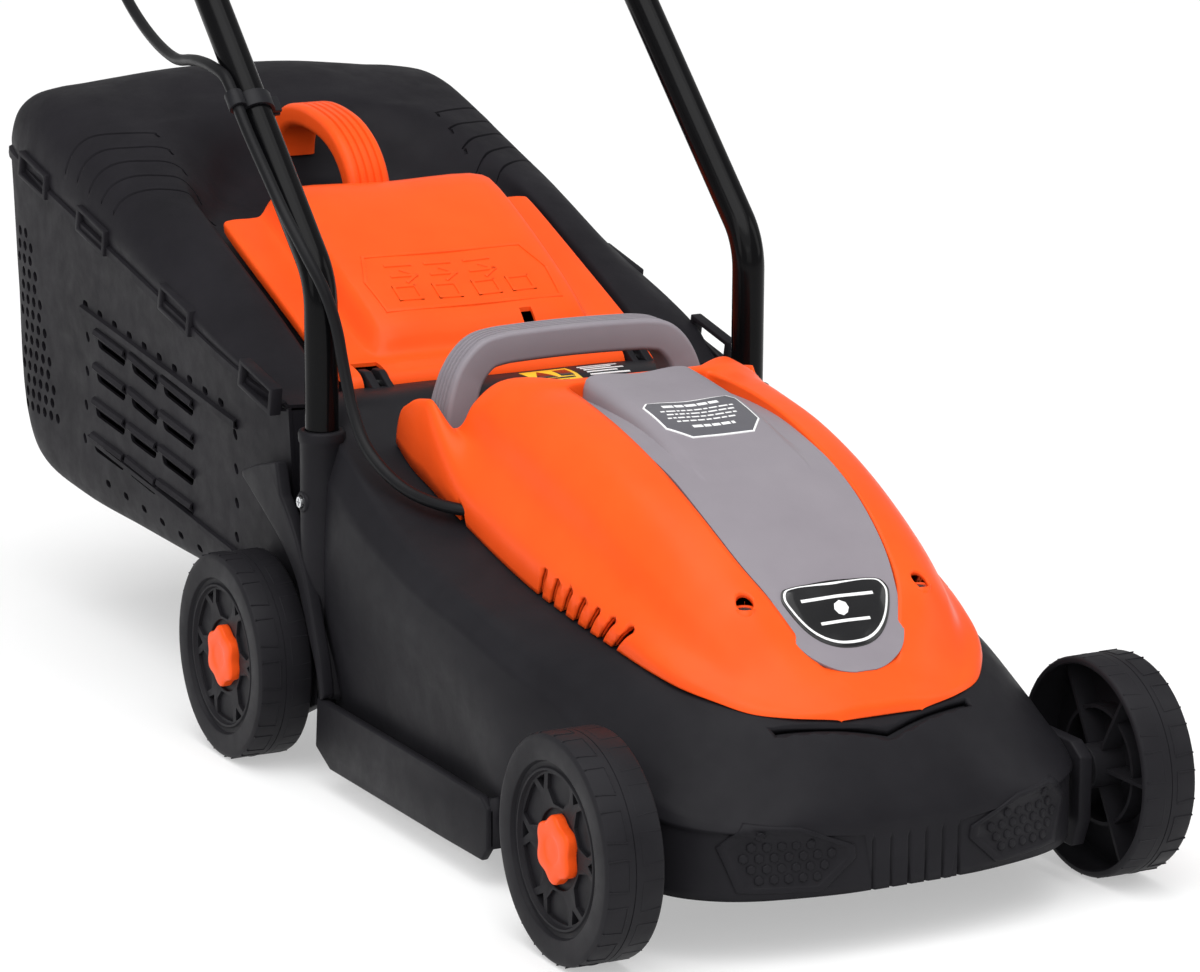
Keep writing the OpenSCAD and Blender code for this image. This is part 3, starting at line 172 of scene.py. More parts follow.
M["black_paint"] = plastic("mat_black_paint", (0.0022, 0.0022, 0.0026), (0.004, 0.004, 0.0045), 0.16, 0.22, 260, 0.00003, 0.20, spec=0.06, coat=0.06, coat_r=0.05)
M["orange_paint"] = plastic("mat_orange_paint", (0.82, 0.10, 0.011), (0.87, 0.12, 0.015), 0.2, 0.26, 260, 0.00003, 0.2, spec=0.25, coat=0.15, coat_r=0.06)
M["cable_rubber"] = plastic("mat_cable_rubber", (0.005, 0.005, 0.006), (0.009, 0.009, 0.010), 0.34, 0.44, 500, 0.00005, 0.25, spec=0.12)
M["black_plastic"] = plastic("mat_black_plastic", (0.008, 0.008, 0.010), (0.014, 0.014, 0.016), 0.36, 0.46, 900, 0.00006, 0.3, spec=0.14)
M["wheel_plastic"] = plastic("mat_wheel_plastic", (0.011, 0.0105, 0.0125), (0.017, 0.0165, 0.019), 0.42, 0.56, 800, 0.00008, 0.35, spec=0.085)
M["foam"] = plastic("mat_foam", (0.010, 0.010, 0.011), (0.018, 0.018, 0.019), 0.80, 0.95, 520, 0.0006, 0.9, spec=0.2)
M["button_plastic"] = plastic("mat_button", (0.72, 0.03, 0.02), (0.78, 0.04, 0.025), 0.22, 0.28, 900, 0.00002, 0.15)
M["capacitor_plastic"] = plastic("mat_capacitor", (0.70, 0.70, 0.64), (0.78, 0.77, 0.72), 0.35, 0.45, 500, 0.00003, 0.2)
M["zinc_steel"] = metal("mat_zinc", (0.55, 0.56, 0.58), (0.68, 0.69, 0.70), 0.22, 0.36)
M["lamination"] = metal("mat_lamination", (0.22, 0.23, 0.25), (0.32, 0.33, 0.34), 0.35, 0.55, 60, (1, 1, 25))
M["copper"] = metal("mat_copper", (0.55, 0.20, 0.07), (0.72, 0.30, 0.12), 0.22, 0.36, 90, (1, 1, 12))
M["cast_alloy"] = metal("mat_cast_alloy", (0.42, 0.43, 0.45), (0.55, 0.56, 0.58), 0.4, 0.6, 120)
M["brass"] = metal("mat_brass", (0.66, 0.48, 0.20), (0.76, 0.58, 0.28), 0.2, 0.32)
M["cast_iron"] = metal("mat_cast_iron", (0.08, 0.08, 0.09), (0.13, 0.13, 0.14), 0.5, 0.7, 150)
M["blade_steel"] = metal("mat_blade", (0.22, 0.23, 0.24), (0.34, 0.35, 0.36), 0.28, 0.45, 50, (14, 1, 1))

SLOT = {sp["node"]: sp["material_slot"] for sp in frame["record"]["subparts"]}
for n, o in frame["nodes"].items():
    o.data.materials.clear()
    key = SLOT[n]
    if n in ("collector_base", "collector_lid"):
        key = "bag_plastic"
    o.data.materials.append(M[key])


# ---------------------------------------------------------------- mesh tools
def spline(P, k, sharp=()):
    """Smooth curve through the points, k steps a span, broken at the sharp indices."""
    P = np.asarray(P, float)
    n = len(P)
    d = np.maximum(np.linalg.norm(np.diff(P, axis=0), axis=1) ** 0.6, 1e-5)
    cuts = [0] + sorted(i for i in sharp if 0 < i < n - 1) + [n - 1]
    out = []
    for a, b in zip(cuts[:-1], cuts[1:]):
        seg = P[a:b + 1]
        dd = d[a:b]
        m = np.zeros_like(seg)
        L = len(seg)
        for i in range(L):
            if L == 2:
                m[i] = (seg[1] - seg[0]) / dd[0]
            elif i == 0:
                s0 = (seg[1] - seg[0]) / dd[0]; s1 = (seg[2] - seg[1]) / dd[1]
                m[i] = s0 + (s0 - s1) * 0.5 * dd[0] / (dd[0] + dd[1])
            elif i == L - 1:
                s0 = (seg[-1] - seg[-2]) / dd[-1]; s1 = (seg[-2] - seg[-3]) / dd[-2]
                m[i] = s0 + (s0 - s1) * 0.5 * dd[-1] / (dd[-1] + dd[-2])
            else:
                s0 = (seg[i] - seg[i - 1]) / dd[i - 1]; s1 = (seg[i + 1] - seg[i]) / dd[i]
                m[i] = (s0 * dd[i] + s1 * dd[i - 1]) / (dd[i] + dd[i - 1])
        for i in range(L - 1):
            for q in range(k):
                t = q / k
                h = dd[i]
                out.append((2*t**3 - 3*t*t + 1) * seg[i] + (t**3 - 2*t*t + t) * h * m[i] + (-2*t**3 + 3*t*t) * seg[i + 1] + (t**3 - t*t) * h * m[i + 1])
    out.append(P[-1])
    return np.array(out)


def dense(G, ku, kv, su=(), sv=()):
    G = np.asarray(G, float)
    A = np.array([spline(r, kv, sv) for r in G])
    return np.array([spline(A[:, j], ku, su) for j in range(A.shape[1])]).transpose(1, 0, 2)


def mirror_rows(rows):
    """Half sections (edge to centre) become full rows, -x edge to +x edge. A point is (x, z) or (x, z, y offset)."""
    G = []
    for y, half in rows:
        L = [(-p[0], y + (p[2] if len(p) > 2 else 0), p[1]) for p in half]
        R = [(p[0], y + (p[2] if len(p) > 2 else 0), p[1]) for p in half[:-1]][::-1]
        G.append(L + R)
    return G


def grid_faces(n, m, base=0, flip=False, wrap=False):
    F = []
    for i in range(n - 1):
        for j in range(m if wrap else m - 1):
            j2 = (j + 1) % m
            q = (base + i * m + j, base + i * m + j2, base + (i + 1) * m + j2, base + (i + 1) * m + j)
            F.append(q[::-1] if flip else q)
    return F


class Build:
    """Collects geometry in millimetres and makes one object."""
    def __init__(self):
        self.v, self.f, self.mi = [], [], []

    def add(self, v, f, mi=0):
        b = len(self.v)
        self.v.extend([tuple(map(float, p)) for p in v])
        self.f.extend([tuple(b + i for i in q) for q in f])
        self.mi.extend([mi] * len(f))
        return self

    def grid(self, G, flip=False, wrap=False, mi=0):
        G = np.asarray(G, float)
        n, m = G.shape[:2]
        return self.add(G.reshape(-1, 3), grid_faces(n, m, 0, flip, wrap), mi)

    def obj(self, name, mats, smooth=True):
        me = bpy.data.meshes.new(name)
        me.from_pydata([row(p) for p in self.v], [], self.f)
        for m in mats:
            me.materials.append(m)
        me.polygons.foreach_set("material_index", self.mi)
        me.polygons.foreach_set("use_smooth", [smooth] * len(me.polygons))
        me.validate()
        me.update()
        o = bpy.data.objects.new(name, me)
        S.collection.objects.link(o)
        return o


def closed(name, v, f, mats=()):
    o = Build().add(v, f).obj(name, mats)
    bm = bmesh.new(); bm.from_mesh(o.data)
    bmesh.ops.remove_doubles(bm, verts=bm.verts, dist=1e-6)
    bmesh.ops.recalc_face_normals(bm, faces=bm.faces)
    bm.to_mesh(o.data); bm.free()
    return o


def prism(poly, axis, a, b):
    """Closed prism. poly is 2D; axis x: (y, z); y: (x, z); z: (x, y). Returns vertices and faces."""
    def at(p, t):
        return (t, p[0], p[1]) if axis == "x" else ((p[0], t, p[1]) if axis == "y" else (p[0], p[1], t))
    n = len(poly)
    v = [at(p, a) for p in poly] + [at(p, b) for p in poly]
    f = [tuple(range(n))[::-1], tuple(range(n, 2 * n))] + [(i, (i + 1) % n, n + (i + 1) % n, n + i) for i in range(n)]
    return v, f


def fix_normals(o):
    bm = bmesh.new(); bm.from_mesh(o.data)
    bmesh.ops.recalc_face_normals(bm, faces=bm.faces)
    bm.to_mesh(o.data); bm.free()


def join(objs, name):
    """One object out of several, each with its own materials kept."""
    v, f, mi, mats = [], [], [], []
    for o in objs:
        base = len(v)
        v.extend([tuple(x.co) for x in o.data.vertices])
        for p in o.data.polygons:
            m = o.data.materials[p.material_index] if o.data.materials else None
            if m not in mats:
                mats.append(m)
            f.append(tuple(base + i for i in p.vertices)); mi.append(mats.index(m))
    me = bpy.data.meshes.new(name)
    me.from_pydata(v, [], f)
    for m in mats:
        me.materials.append(m)
    me.polygons.foreach_set("material_index", mi)
    me.polygons.foreach_set("use_smooth", [True] * len(f))
    me.update()
    r = bpy.data.objects.new(name, me)
    S.collection.objects.link(r)
    for o in objs:
        bpy.data.objects.remove(o)
    return r


def mod(o, kind, **kw):
    m = o.modifiers.new(kind.lower(), kind)
    for k, v in kw.items():
        setattr(m, k, v)
    return m


def cut(o, cutter, op="DIFFERENCE", solver="EXACT"):
    m = mod(o, "BOOLEAN", operation=op, solver=solver, object=cutter)
    return m


def settle(o, angle=34, drop=()):
    """Applies the modifiers, cleans up and sets the sharp edges by angle."""
    bpy.context.view_layer.update()
    dg = bpy.context.evaluated_depsgraph_get()
    me = bpy.data.meshes.new_from_object(o.evaluated_get(dg), preserve_all_data_layers=True, depsgraph=dg)
    o.modifiers.clear()
    o.data = me
    for c in drop:
        bpy.data.objects.remove(c)
    bm = bmesh.new(); bm.from_mesh(me)
    bmesh.ops.remove_doubles(bm, verts=bm.verts, dist=2e-6)
    bmesh.ops.dissolve_degenerate(bm, edges=bm.edges, dist=2e-6)
    bm.to_mesh(me); bm.free()
    me.polygons.foreach_set("use_smooth", [True] * len(me.polygons))
    me.set_sharp_from_angle(angle=math.radians(angle))
    me.update()
    return o


def shell_obj(name, G, t, mat, flip=False):
    o = Build().grid(G, flip).obj(name, [mat])
    bm = bmesh.new(); bm.from_mesh(o.data)
    bmesh.ops.remove_doubles(bm, verts=bm.verts, dist=2e-6)
    bmesh.ops.recalc_face_normals(bm, faces=bm.faces)
    up_ = sum(f.normal.z * f.calc_area() for f in bm.faces)
    if (up_ < 0) != flip:
        bmesh.ops.reverse_faces(bm, faces=bm.faces)
    bm.to_mesh(o.data); bm.free()
    mod(o, "SOLIDIFY", thickness=t / 1000.0, offset=-1.0, use_even_offset=False, use_quality_normals=True)
    return o


def tree(o):
    bpy.context.view_layer.update()
    dg = bpy.context.evaluated_depsgraph_get()
    return BVHTree.FromObject(o, dg)


def hit(t, p, d):
    """First point on the surface from p along d, both in millimetres of the working frame."""
    q = t.ray_cast(Vector(row(p)), Vector(d).normalized())
    if q[0] is None:
        return None
    c = q[0]
    return (c.x * 1000, c.y * 1000 - YS, c.z * 1000)


def sweep(path, sec, ref, ring=None, caps=True):
    """A closed section (a, b) swept along a planar path. b runs along ref, a is square to the path."""
    P = np.asarray(path, float)
    n = len(P)
    ref = np.array(ref, float)
    T = np.gradient(P, axis=0)
    T /= np.linalg.norm(T, axis=1)[:, None]
    v = []
    for i in range(n):
        a = np.cross(ref, T[i]); a /= np.linalg.norm(a)
        s = sec(i / (n - 1)) if callable(sec) else sec
        v.extend([P[i] + a * q[0] + ref * q[1] for q in s])
    m = len(sec(0) if callable(sec) else sec)
    f = grid_faces(n, m, 0, False, True)
    if caps:
        f.append(tuple(range(m))[::-1])
        f.append(tuple((n - 1) * m + k for k in range(m)))
    return v, f


def rrect(a, b, r, k=6, grooves=(), gd=1.2, gw=1.1, side=1):
    """Rounded rectangle, half sizes a (across the thickness) and b (along the width). Grooves at the given b on the +a or -a face."""
    pts = []
    def arc(ca, cb, t0):
        for q in range(k + 1):
            t = math.radians(t0 + 90 * q / k)
            pts.append((ca + r * math.cos(t), cb + r * math.sin(t)))
    arc(a - r, b - r, 0)
    if side < 0:
        pass
    arc(-(a - r), b - r, 90)
    if side < 0:
        for g in sorted(grooves, reverse=True):
            pts.extend([(-a, g + gw), (-a + gd, g + gw * 0.45), (-a + gd, g - gw * 0.45), (-a, g - gw)])
    arc(-(a - r), -(b - r), 180)
    arc(a - r, -(b - r), 270)
    if side > 0:
        for g in sorted(grooves):
            pts.extend([(a, g - gw), (a - gd, g - gw * 0.45), (a - gd, g + gw * 0.45), (a, g + gw)])
    return pts


def tube(path, r, sides=20, k=1):
    P = spline(path, k) if k > 1 else np.asarray(path, float)
    n = len(P)
    T = np.gradient(P, axis=0)
    T /= np.linalg.norm(T, axis=1)[:, None]
    a = np.cross(T[0], (0.3, 0.2, 0.93)); a /= np.linalg.norm(a)
    v = []
    for i in range(n):
        a = a - T[i] * np.dot(a, T[i]); a /= np.linalg.norm(a)
        b = np.cross(T[i], a)
        v.extend([P[i] + r * (math.cos(2 * math.pi * q / sides) * a + math.sin(2 * math.pi * q / sides) * b) for q in range(sides)])
    f = grid_faces(n, sides, 0, False, True)
    f.append(tuple(range(sides))[::-1]); f.append(tuple((n - 1) * sides + q for q in range(sides)))
    return v, f


def lathe_x(prof, x_sign, y, z, seg=96):
    """Revolves (x, r) points about the X axis through (y, z)."""
    v = []
    for (x, r) in prof:
        for q in range(seg):
            t = 2 * math.pi * q / seg
            v.append((x * x_sign, y + r * math.cos(t), z + r * math.sin(t)))
    return v, grid_faces(len(prof), seg, 0, x_sign > 0, True)


def lathe_z(prof, cx, cy, seg=64):
    v = []
    for (r, z) in prof:
        for q in range(seg):
            t = 2 * math.pi * q / seg
            v.append((cx + r * math.cos(t), cy + r * math.sin(t), z))
    return v, grid_faces(len(prof), seg, 0, False, True)


def finish(o, body, nodes, angle=None):
    if angle:
        o.data.set_sharp_from_angle(angle=math.radians(angle))
    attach(o, body)
    if nodes:
        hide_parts(*nodes)
    return o


# ---------------------------------------------------------------- camera, light, floor
cam = bpy.data.cameras.new("camera")
cam.sensor_width = 36.0
cam.lens = 4643.31 / 1200 * 36
cam.clip_start = 0.05
cam.clip_end = 60
co = bpy.data.objects.new("camera", cam)
S.collection.objects.link(co)
az, el, roll = math.radians(-28.352), math.radians(13.199), math.radians(0.376)
back = Vector((math.sin(az) * math.cos(el), -math.cos(az) * math.cos(el), math.sin(el)))
tgt = Vector(row((2650.296, 4992.700, -1110.662)))
pos = tgt + back * 8.760289
fwd = -back
right = fwd.cross(Vector((0, 0, 1))).normalized()
upv = right.cross(fwd)
R2 = right * math.cos(roll) + upv * math.sin(roll)
U2 = -right * math.sin(roll) + upv * math.cos(roll)
mw = Matrix.Identity(4)
for i in range(3):
    mw[i][0], mw[i][1], mw[i][2], mw[i][3] = R2[i], U2[i], back[i], pos[i]
co.matrix_world = mw
S.camera = co

fm, fnt, fb, ftc = _nodes("mat_floor")
fn = _noise(fnt, ftc, 3, 3)
fnt.links.new(_mix(fnt, _range(fnt, fn.outputs["Fac"], 0, 1), (0.54, 0.54, 0.54), (0.56, 0.56, 0.56)), fb.inputs["Base Color"])
fb.inputs["Emission Color"].default_value = (1, 1, 1, 1)
fb.inputs["Emission Strength"].default_value = 0.42
fb.inputs["Roughness"].default_value = 0.9
fb.inputs["Specular IOR Level"].default_value = 0.1
floor = Build()
gx = np.linspace(-9000, 9000, 31)
floor.grid([[(x, y, 0.0) for x in gx] for y in gx], True)
fo = floor.obj("floor", [fm])

w = bpy.data.worlds.new("studio")
S.world = w
w.use_nodes = True
bg = w.node_tree.nodes["Background"]
bg.inputs[0].default_value = (1.0, 1.0, 1.0, 1)
bg.inputs[1].default_value = 0.42


def area(name, loc, size, power, aim=(0, 0, 0.2), col=(1, 1, 1)):
    l = bpy.data.lights.new(name, "AREA")
    l.shape = "RECTANGLE"
    l.size, l.size_y = size
    l.energy = power
    l.color = col
    o = bpy.data.objects.new(name, l)
    S.collection.objects.link(o)
    o.location = loc
    o.rotation_euler = (Vector(aim) - Vector(loc)).to_track_quat("-Z", "Y").to_euler()
    return o


area("key_top", (-0.4, -0.6, 2.6), (2.4, 2.4), 22, (0, 0, 0.1))
area("side_left", (-2.6, -0.4, 1.5), (1.2, 2.2), 13, (0, 0, 0.2))
area("side_right", (2.3, -1.2, 1.5), (1.0, 2.0), 10, (0, 0, 0.2))
area("front_soft", (-1.0, -3.2, 1.1), (2.0, 1.2), 8, (0, 0, 0.2))
for name, direction in (("sky_top", (0.15, 0.25, -1.0)), ("sky_front", (0.45, 0.7, -1.0))):
    l = bpy.data.lights.new(name, "SUN")
    l.energy = 1.15
    l.angle = math.radians(70)
    o = bpy.data.objects.new(name, l)
    S.collection.objects.link(o)
    o.rotation_euler = Vector(direction).to_track_quat("-Z", "Y").to_euler()
S.view_settings.view_transform = "Standard"

# ---------------------------------------------------------------- deck
deck_rows = [
    (208, [(150, 60), (152, 100), (153, 150), (153, 215), (147, 238), (135, 247), (90, 250), (0, 250)]),
    (175, [(158, 40), (160, 90), (161, 150), (159, 208), (151, 233), (135, 244), (90, 249), (0, 250)]),
    (145, [(158, 40), (162, 90), (166, 150), (163, 200), (154, 224), (125, 221), (80, 230), (0, 238)]),
    (100, [(159, 40), (162.5, 90), (169, 145), (166, 186), (156, 202), (118, 207), (80, 214), (0, 218)]),
    (45, [(160, 40), (163, 90), (170, 140), (167, 170), (157, 183), (120, 192), (80, 198), (0, 202)]),
    (0, [(160, 40), (163, 90), (170, 135), (167, 160), (157, 171), (120, 183), (80, 188), (0, 192)]),
    (-50, [(160, 40), (163, 88), (169, 128), (166, 153), (156, 164), (120, 173), (80, 179), (0, 183)]),
    (-100, [(164, 40), (165, 84), (164, 118), (161, 139), (151, 151), (118, 166), (80, 172), (0, 175)]),
    (-140, [(158, 40), (158, 80), (157, 108), (153, 128), (144, 142), (119, 160.4), (75, 166), (0, 169)]),
    (-170, [(153, 40), (153, 76), (152, 100), (149, 116), (140, 132), (116, 155.3), (70, 161), (0, 163)]),
    (-200, [(152, 40), (152, 74), (151, 95), (148, 107), (138, 122), (110.5, 149), (65, 154), (0, 157)]),
    (-230, [(151, 40), (151, 72), (150, 88), (146, 98), (135, 112), (99, 142.4), (60, 148), (0, 150)]),
    (-255, [(146, 40), (146, 71), (145, 84), (140, 93), (127, 105), (77, 136.6), (50, 140), (0, 141)]),
    (-273, [(137, 40), (137, 70), (136, 82), (130, 89), (114, 98), (70, 123), (38, 130), (0, 131)]),
    (-290, [(119, 40), (119, 70), (118, 81), (112, 86), (98, 92), (62, 106), (35, 111), (0, 112)]),
    (-301, [(95, 40), (95, 70), (94, 80), (90, 84), (79, 88), (58, 93), (33, 96), (0, 97)]),
    (-307, [(62, 40), (62, 69), (61, 77), (58, 79), (52, 82), (42, 84), (24, 86), (0, 86)]),
    (-309, [(34, 40), (34, 68), (33.5, 74), (32, 76), (29, 78), (22, 79), (12, 80), (0, 80)]),
    (-309, [(31, 40), (29, 40), (27, 40), (24, 40), (20, 40), (14, 40), (7, 40), (0, 40)]),
]
GD = dense(mirror_rows(deck_rows), 7, 6, su=(17,), sv=(3, 4, 10, 11))
# the bumper's face steps in under a lip
GD0 = GD.copy()
CU = GD.shape[1] - 1
for i in range(GD.shape[0]):
    for j in list(range(0, 13)) + list(range(CU - 12, CU + 1)):
        x, y, z = GD0[i, j]
        a_, b_ = GD0[max(i - 1, 0), j], GD0[min(i + 1, GD.shape[0] - 1), j]
        t = np.array([b_[0] - a_[0], b_[1] - a_[1]]); L = np.linalg.norm(t)
        if L < 1e-6 or y > -186:
            continue
        n = np.array([t[1], -t[0]]) / L
        if n @ np.array([x, y + 120]) < 0:
            n = -n
        e = min(1, max(0, (-186 - y) / 16))
        amp = 3.0 * e * e * (3 - 2 * e) * min(1, max(0.25, (abs(x) - 30) / 55))
        GD[i, j, 0] -= n[0] * amp
        GD[i, j, 1] -= n[1] * amp
deck = shell_obj("deck_hood", GD, 3.4, M["deck_plastic"])
T_DECK = tree(deck)
cutters = []
bc = Build()
v, f = lathe_z([(61.9, 97), (61.9, 240), (0.01, 240), (0.01, 97), (61.9, 97)], 0, -50)
c = closed("c_well", v, f); cutters.append(c); cut(deck, c)
slots_ = []
for s_ in (-1, 1):
    pts = [(-239 + s_ * 0 - 6.3, 20), (-239 + 6.3, 20), (-239 + 6.3, 70)] + [(-239 + 6.3 * math.cos(t), 70 + 6.3 * math.sin(t)) for t in np.linspace(0.2, math.pi - 0.2, 12)] + [(-239 - 6.3, 70)]
    v, f = prism(pts, "x", s_ * 140, s_ * 172)
    c = closed(f"c_ax{s_}", v, f); cutters.append(c); cut(deck, c)
gb = Build()
for x in (-27.2, -14.7, -2.4, 9.3, 20.9, 32.4):
    ys = hit(T_DECK, (x, -420, 56), (0, 1, 0))[1]
    V = [(x - 2.0, ys - 1.0, 37.5), (x + 2.0, ys - 1.0, 37.5), (x, ys + 2.2, 37.5), (x - 2.0, ys - 1.0, 70), (x + 2.0, ys - 1.0, 70), (x, ys + 2.2, 70), (x, ys - 1.0, 75.5)]
    gb.add(V, [(0, 1, 2), (0, 3, 4, 1), (1, 4, 5, 2), (2, 5, 3, 0), (3, 6, 4), (4, 6, 5), (5, 6, 3)])
c = gb.obj("c_g", []); fix_normals(c); cutters.append(c); cut(deck, c)
v, f = prism([(-72, -262.5), (0, -277.5), (63, -263.5), (64.5, -268), (0, -282.3), (-70, -267.5)], "z", 104, 150)
c = closed("c_fs", v, f); fix_normals(c); cutters.append(c); cut(deck, c)
settle(deck, 40, cutters)
parts = [deck]
bk = []
for bx in np.linspace(-80, 74, 40):
    by = -281 + 17.5 * min(1, abs(bx) / 72)
    strip = []
    for dy in (-6.5, -2, 3, 8, 12.5):
        bh = hit(T_DECK, (float(bx), float(by + dy), 400.0), (0, 0, -1))
        strip.append((float(bx), float(by + dy), float(bh[2]) - 6.0))
    bk.append(strip)
o = Build().grid(np.array(bk)).obj("slot_back", [M["deck_plastic"]]); mod(o, "SOLIDIFY", thickness=0.001, offset=0); parts.append(settle(o))
# side skirts, wheel arch fins, sockets, lugs, pads, brackets
for s in (-1, 1):
    sk = Build()
    v, f = prism([(-99, 26), (-91, 17), (-40, 16.5), (128, 16.5), (150, 27), (147, 61), (-20, 59.5), (-90, 58), (-99, 52)], "x", s * 168.5, s * 174)
    o = closed(f"skirt{s}", v, f, [M["deck_plastic"]]); mod(o, "BEVEL", width=0.0016, segments=3, limit_method="ANGLE"); parts.append(settle(o))
    for y0, y1 in ((-99, -96), (147, 150)):
        v, f = prism([(160 * s, 26), (171 * s, 26), (171 * s, 58), (160 * s, 58)], "y", y0, y1)
        parts.append(settle(closed(f"skirt_end{s}{y0}", v, f, [M["deck_plastic"]])))
    # fin over the rear wheel: an outer flange and the wall behind it
    line = spline([(141, 60), (147, 80), (156, 97), (166, 116), (176, 133), (196, 151), (224, 167), (262, 186)], 6)
    inner = spline([(136, 64), (140, 84), (148, 104), (156, 124), (165, 143), (180, 166), (200, 186), (222, 203)], 6)
    top = spline([(145, 205), (170, 213), (190, 212), (206, 207), (222, 203), (243, 197), (262, 190)], 5)
    poly = [tuple(p) for p in line] + [tuple(p) for p in top[::-1][:16]] + [tuple(p) for p in inner[::-1][6:]]
    v, f = prism(poly, "x", s * 166, s * 175)
    o = closed(f"fin{s}", v, f, [M["deck_plastic"]]); mod(o, "BEVEL", width=0.0018, segments=3, limit_method="ANGLE", angle_limit=math.radians(50)); parts.append(settle(o))
    # arch wall between the fin and the hood
    n = len(line)
    G = [[(s * x, p[0], p[1]) for p in line] for x in (150, 160, 168)]
    o = Build().grid(G).obj(f"arch{s}", [M["deck_plastic"]]); mod(o, "SOLIDIFY", thickness=0.003, offset=0); parts.append(settle(o))
    # socket with a rim, a taper and a lower rounded end
    prof = [(0.1, 100), (4, 101), (8, 106), (11, 118), (13.2, 136), (14.2, 152), (14.5, 170), (14.5, 226), (15.3, 227.5), (15.6, 229), (15.6, 233), (15.0, 234.6), (13.8, 235),
            (11.3, 235), (11.2, 175), (0.1, 172.4)]
    v, f = lathe_z(prof, s * 159.5, 167, 56)
    parts.append(Build().add(v, f).obj(f"socket{s}", [M["deck_plastic"]])); fix_normals(parts[-1]); parts[-1].data.set_sharp_from_angle(angle=math.radians(50))
    # boss round the screw
    v, f = lathe_x([(170, 7.2), (174.0, 7.0), (174.6, 6.4), (174.6, 4.1), (173.9, 3.9), (173.9, 0.1)], s, 167, 188, 40)
    parts.append(Build().add(v, f).obj(f"boss{s}", [M["deck_plastic"]])); fix_normals(parts[-1]); parts[-1].data.set_sharp_from_angle(angle=math.radians(40))
    # hinge lugs
    lug = [(198, 238), (206, 243), (222, 243.2), (229, 244.8), (231.6, 249), (231, 254), (226.5, 258.6), (216, 259), (206, 253), (198, 249)]
    for x0, x1 in ((90, 95), (100, 106)):
        v, f = prism(lug, "x", s * x0, s * x1)
        o = closed(f"lug{s}{x0}", v, f, [M["deck_plastic"]]); mod(o, "BEVEL", width=0.001, segments=3, limit_method="ANGLE"); parts.append(settle(o))
    # carry handle pads
    v, f = prism([(68 * s, 212), (102 * s, 206), (102 * s, 239.6), (68 * s, 239.6)], "y", 107.5, 142.5)
    o = closed(f"pad{s}", v, f, [M["deck_plastic"]]); mod(o, "BEVEL", width=0.0025, segments=3, limit_method="ANGLE"); parts.append(settle(o))
    # axle brackets
    for ax, outl in ((-239, [(-262, 44), (-255, 26), (-223, 26), (-200, 44), (-196, 92), (-250, 92), (-262, 84)]),
                     (239, [(180, 100), (184, 44), (222, 26), (256, 26), (264, 38), (264, 78), (256, 86), (206, 100)])):
        v, f = prism(outl, "x", s * 148.5, s * 158)
        o = closed(f"brk{s}{ax}", v, f, [M["deck_plastic"]])
        hole = [(ax - 6.3, 20), (ax + 6.3, 20), (ax + 6.3, 70)] + [(ax + 6.3 * math.cos(t), 70 + 6.3 * math.sin(t)) for t in np.linspace(0.2, math.pi - 0.2, 12)] + [(ax - 6.3, 70)]
        hole = [(p[0], max(p[1], 33)) for p in hole]
        v, f = prism(hole, "x", s * 140, s * 166)
        c = closed("c_h", v, f)
        cut(o, c); mod(o, "BEVEL", width=0.0012, segments=2, limit_method="ANGLE")
        parts.append(settle(o, 34, [c]))
# rear wall with the discharge opening, and the chute
v, f = prism([(-151, 62), (-152.5, 150), (-151, 214), (-145, 236), (-133, 244.5), (-88, 247.5), (88, 247.5), (133, 244.5), (145, 236), (151, 214), (152.5, 150), (151, 62)], "y", 203, 207)
o = closed("rear_wall", v, f, [M["deck_plastic"]])
v, f = prism([(-112, 100), (-112, 215), (-100, 230), (100, 230), (112, 215), (112, 100)], "y", 190, 220)
c = closed("c_rw", v, f); cut(o, c); parts.append(settle(o, 34, [c]))
for a_, b_, p_ in (("x", (-114.5, -112), [(112, 97.5), (204, 97.5), (204, 232), (170, 226), (112, 205)]), ("x", (112, 114.5), [(112, 97.5), (204, 97.5), (204, 232), (170, 226), (112, 205)]),
                   ("x", (-112, 112), [(112, 97.5), (204, 97.5), (204, 100), (112, 100)])):
    v, f = prism(p_, a_, *b_)
    parts.append(settle(closed("chute", v, f, [M["deck_plastic"]])))
# motor well
v, f = lathe_z([(9, 92), (66, 92), (66, 190), (62, 190), (62, 97), (9, 97), (9, 92)], 0, -50, 72)
o = closed("well", v, f, [M["deck_plastic"]]); parts.append(settle(o, 34))

# bumper: raised pads with hexagon cells
def on_front(x, z, off=0.0):
    """A point of the bumper's face at x, z, moved out along its own normal in plan."""
    p = hit(T_DECK, (x, -420, z), (0, 1, 0))
    a = hit(T_DECK, (x - 1.5, -420, z), (0, 1, 0)) or p
    b = hit(T_DECK, (x + 1.5, -420, z), (0, 1, 0)) or p
    t = np.array([b[0] - a[0], b[1] - a[1]]); t /= max(np.linalg.norm(t), 1e-6)
    n = np.array([t[1], -t[0]])
    if n[1] > 0:
        n = -n
    return (p[0] + n[0] * off, p[1] + n[1] * off, z)


def fan_patch(outline, fn, off, depth, rings=5, mat=0, inset=1.0):
    """A raised patch over an outline, following the surface that fn gives. Its rim is bevelled by inset."""
    P = np.array(outline, float)
    c = P.mean(0)
    rad = np.linalg.norm(P - c, axis=1).mean()
    lv = [(1.0, -depth), (1.0, off - inset * 0.5), (1.0 - inset / rad, off)] + [(1.0 - inset / rad) * (1 - k / rings) for k in range(1, rings)]
    v, idx = [], 0
    n = len(P)
    for L in lv:
        k, o_ = L if isinstance(L, tuple) else (L, off)
        for p in P:
            q = c + (p - c) * k
            v.append(fn(q[0], q[1], o_))
    f = grid_faces(len(lv), n, 0, False, True)
    v.append(fn(c[0], c[1], off))
    last = (len(lv) - 1) * n
    f += [(last + i, last + (i + 1) % n, len(v) - 1) for i in range(n)]
    return v, f


